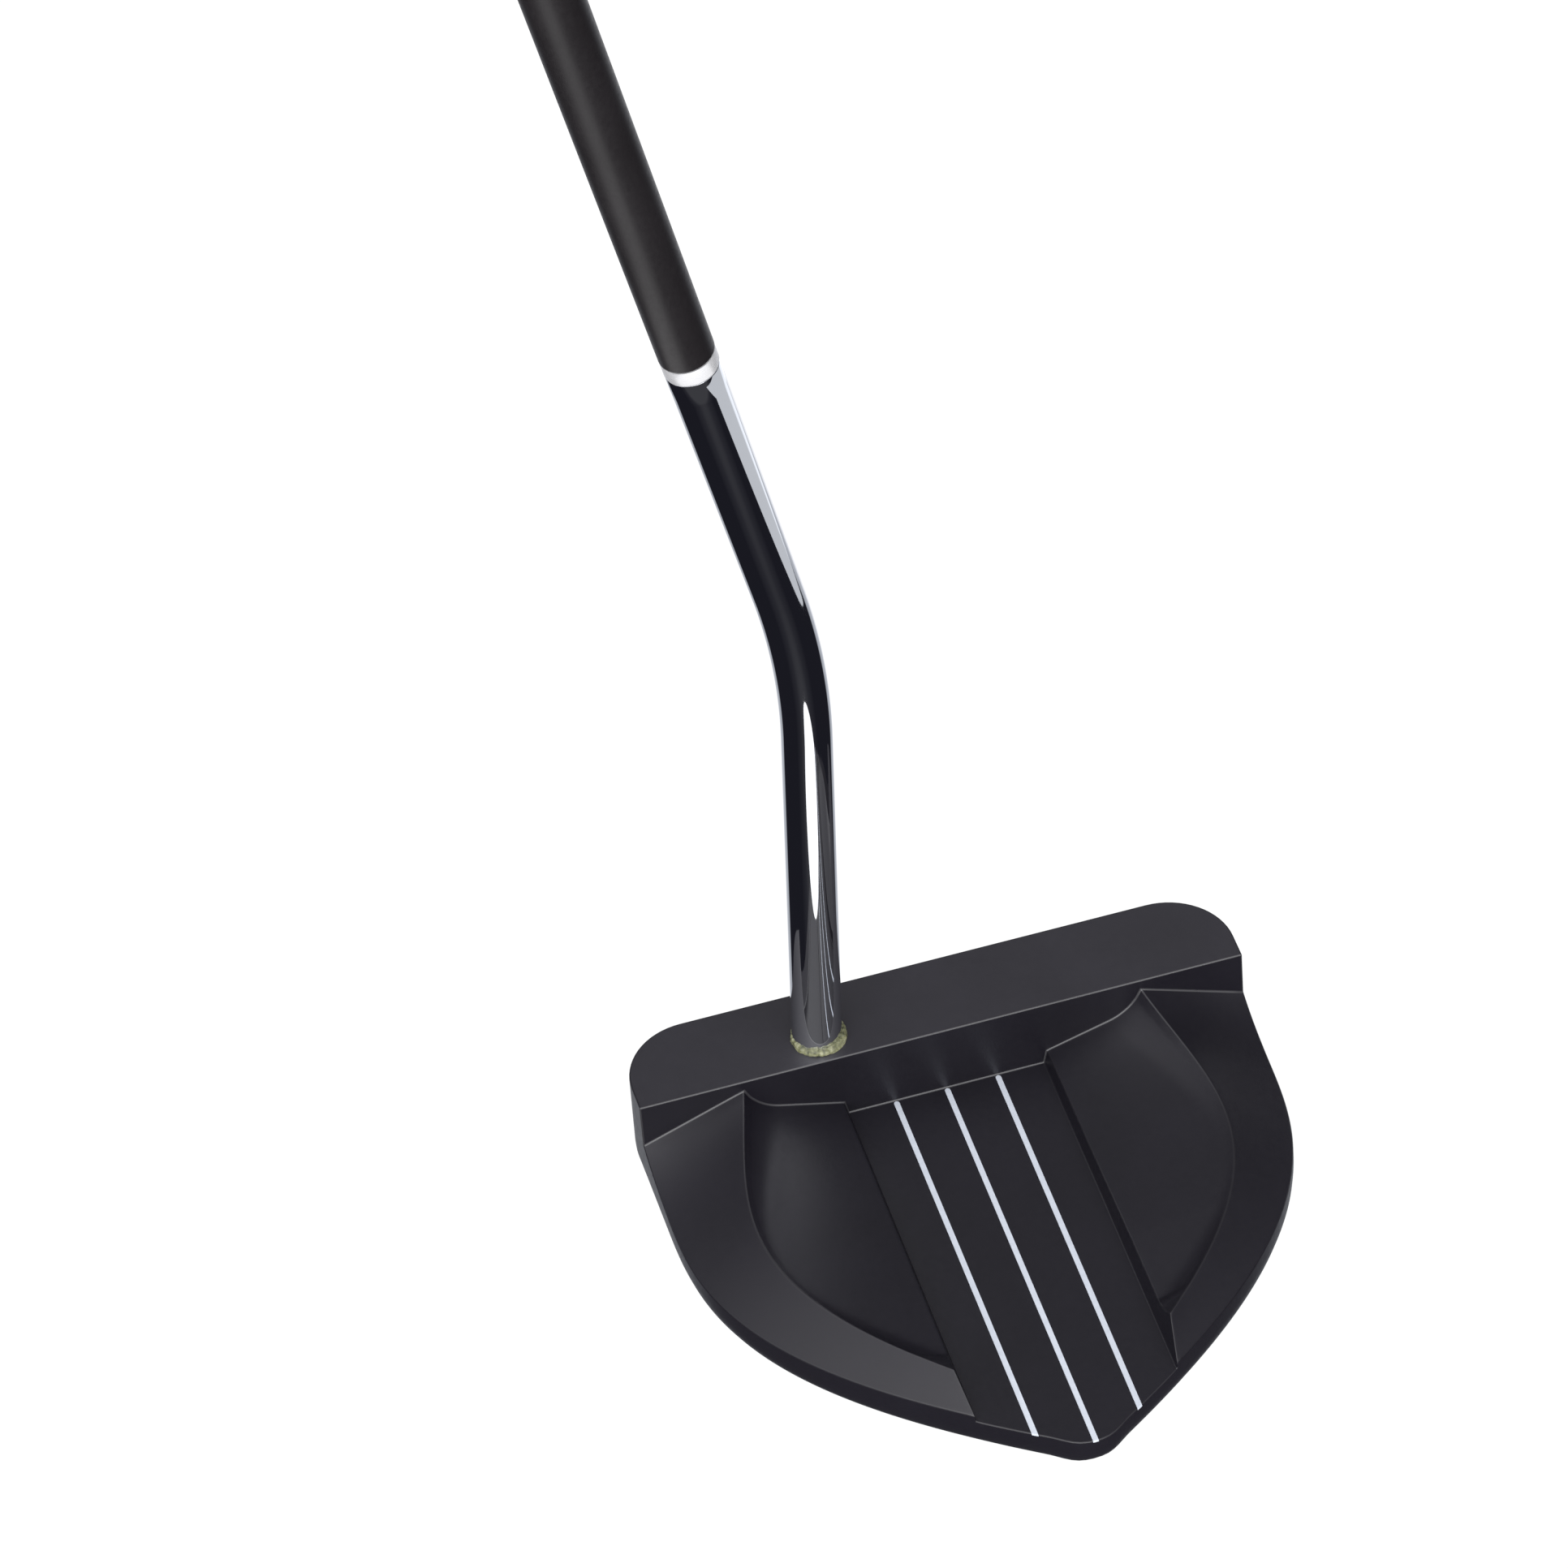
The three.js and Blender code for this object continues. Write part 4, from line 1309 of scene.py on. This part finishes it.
def build_studio(steel, ring, carbon, head):
    build_floor(12.0, 0.0003)
    studio_world()
    soft_light("overhead", (-0.2, -0.2, 1.8), (0, 0, 0), (1.6, 1.6), 3)
    soft_light("rear", (-0.45, -1.5, 0.62), (0, 0, 0.05), (2.4, 1.1), 17)
    front = (-0.0228, 0.0145, 0.0625)
    shaft_middle = (-0.0195, 0.0441, 0.0625)
    reflection_card("front_card", front, shaft_middle, (0.024, 0.055), 1.3, steel, True)
    behind = (0.0, -0.2, 0.001)
    reflection_card("sole_card", behind, (0.0, -0.2, 1.0), (1.0, 0.6), 0.055, head)
    beside_toe = (0.478, 0.1, 0.001)
    toe_card = reflection_card("toe_card", beside_toe, (0.478, 0.1, 1.0), (0.6, 1.0), 0.62, steel)
    toe_card.data.color = (0.93, 0.96, 1.0)
    below_ring = (-0.02, -0.06, 0.09)
    reflection_card("ring_card", below_ring, (-0.04, 0.0454, 0.196), (0.35, 0.35), 1.1, ring)
    beside_shaft = (-0.1, -0.2, 0.25)
    reflection_card("shaft_card", beside_shaft, (-0.11, 0.0454, 0.5), (0.1, 0.9), 1.05, carbon)


CAMERA_PLACE = (-0.300339, -1.164544, 1.336532)
CAMERA_RIGHT = (0.957812, -0.280971, -0.060433)
CAMERA_UP = (0.240656, 0.669157, 0.703075)
CAMERA_LENS = 223.6


def build_camera():
    """A long lens, high behind the heel, looking down at 45 degrees."""
    data = bpy.data.cameras.new("camera")
    data.sensor_width = 36.0
    data.lens = CAMERA_LENS
    data.clip_end = 20.0
    camera = bpy.data.objects.new("camera", data)
    right = Vector(CAMERA_RIGHT)
    up = Vector(CAMERA_UP)
    turn = Matrix((right, up, right.cross(up))).transposed().to_4x4()
    camera.matrix_world = Matrix.Translation(CAMERA_PLACE) @ turn
    bpy.context.scene.collection.objects.link(camera)
    bpy.context.scene.camera = camera


# ---- Scene --------------------------------------------------------------------------

# The lighter blacks below copy the head's black as painted light: a faint edge highlight, a stronger
# highlight along the bar's rear wall and sheen on the bar's top face.
BLACK = (0.0080, 0.0070, 0.0115)
BLACK_EDGE_HIGHLIGHT = (0.0085, 0.0075, 0.0115)
BLACK_REAR_EDGE_HIGHLIGHT = (0.034, 0.033, 0.037)
BLACK_TOP_SHEEN = (0.0205, 0.0190, 0.0255)

LOOKS = {
    "head": anodised_black("black_anodised", BLACK, 0.34, 0.42, 0.55),
    "head_edge_highlight": anodised_black("black_anodised_edge_highlight", BLACK_EDGE_HIGHLIGHT, 0.31, 0.39, 0.65),
    "head_rear_edge_highlight": anodised_black("black_anodised_rear_edge_highlight", BLACK_REAR_EDGE_HIGHLIGHT, 0.27, 0.37, 0.85),
    "head_top_sheen": anodised_black("black_anodised_top_sheen", BLACK_TOP_SHEEN, 0.40, 0.48, 0.75),
    "paint": white_paint(),
    "chrome": chrome(),
    "silver": satin_silver(),
    "carbon": satin_carbon(),
    "epoxy": cured_epoxy(),
    "rubber": moulded_rubber(),
    "polymer": moulded_polymer(),
    "steel": turned_steel(),
}

build_camera()
head = build_head(LOOKS)
build_insert(LOOKS)
for end in (-1, 1):
    build_weight(end, LOOKS)
steel = build_lower_shaft(LOOKS)
ring = build_coupling(LOOKS)
carbon = build_upper_shaft(LOOKS)
build_bead(LOOKS)
build_grip(LOOKS)
build_end_cap(LOOKS)
build_studio(steel, ring, carbon, head)

for node, material in (("face_insert_tape", foam_tape()), ("grip_tape", paper_tape())):
    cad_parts[node].data.materials.clear()
    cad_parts[node].data.materials.append(material)

bpy.context.scene.view_settings.view_transform = "Standard"
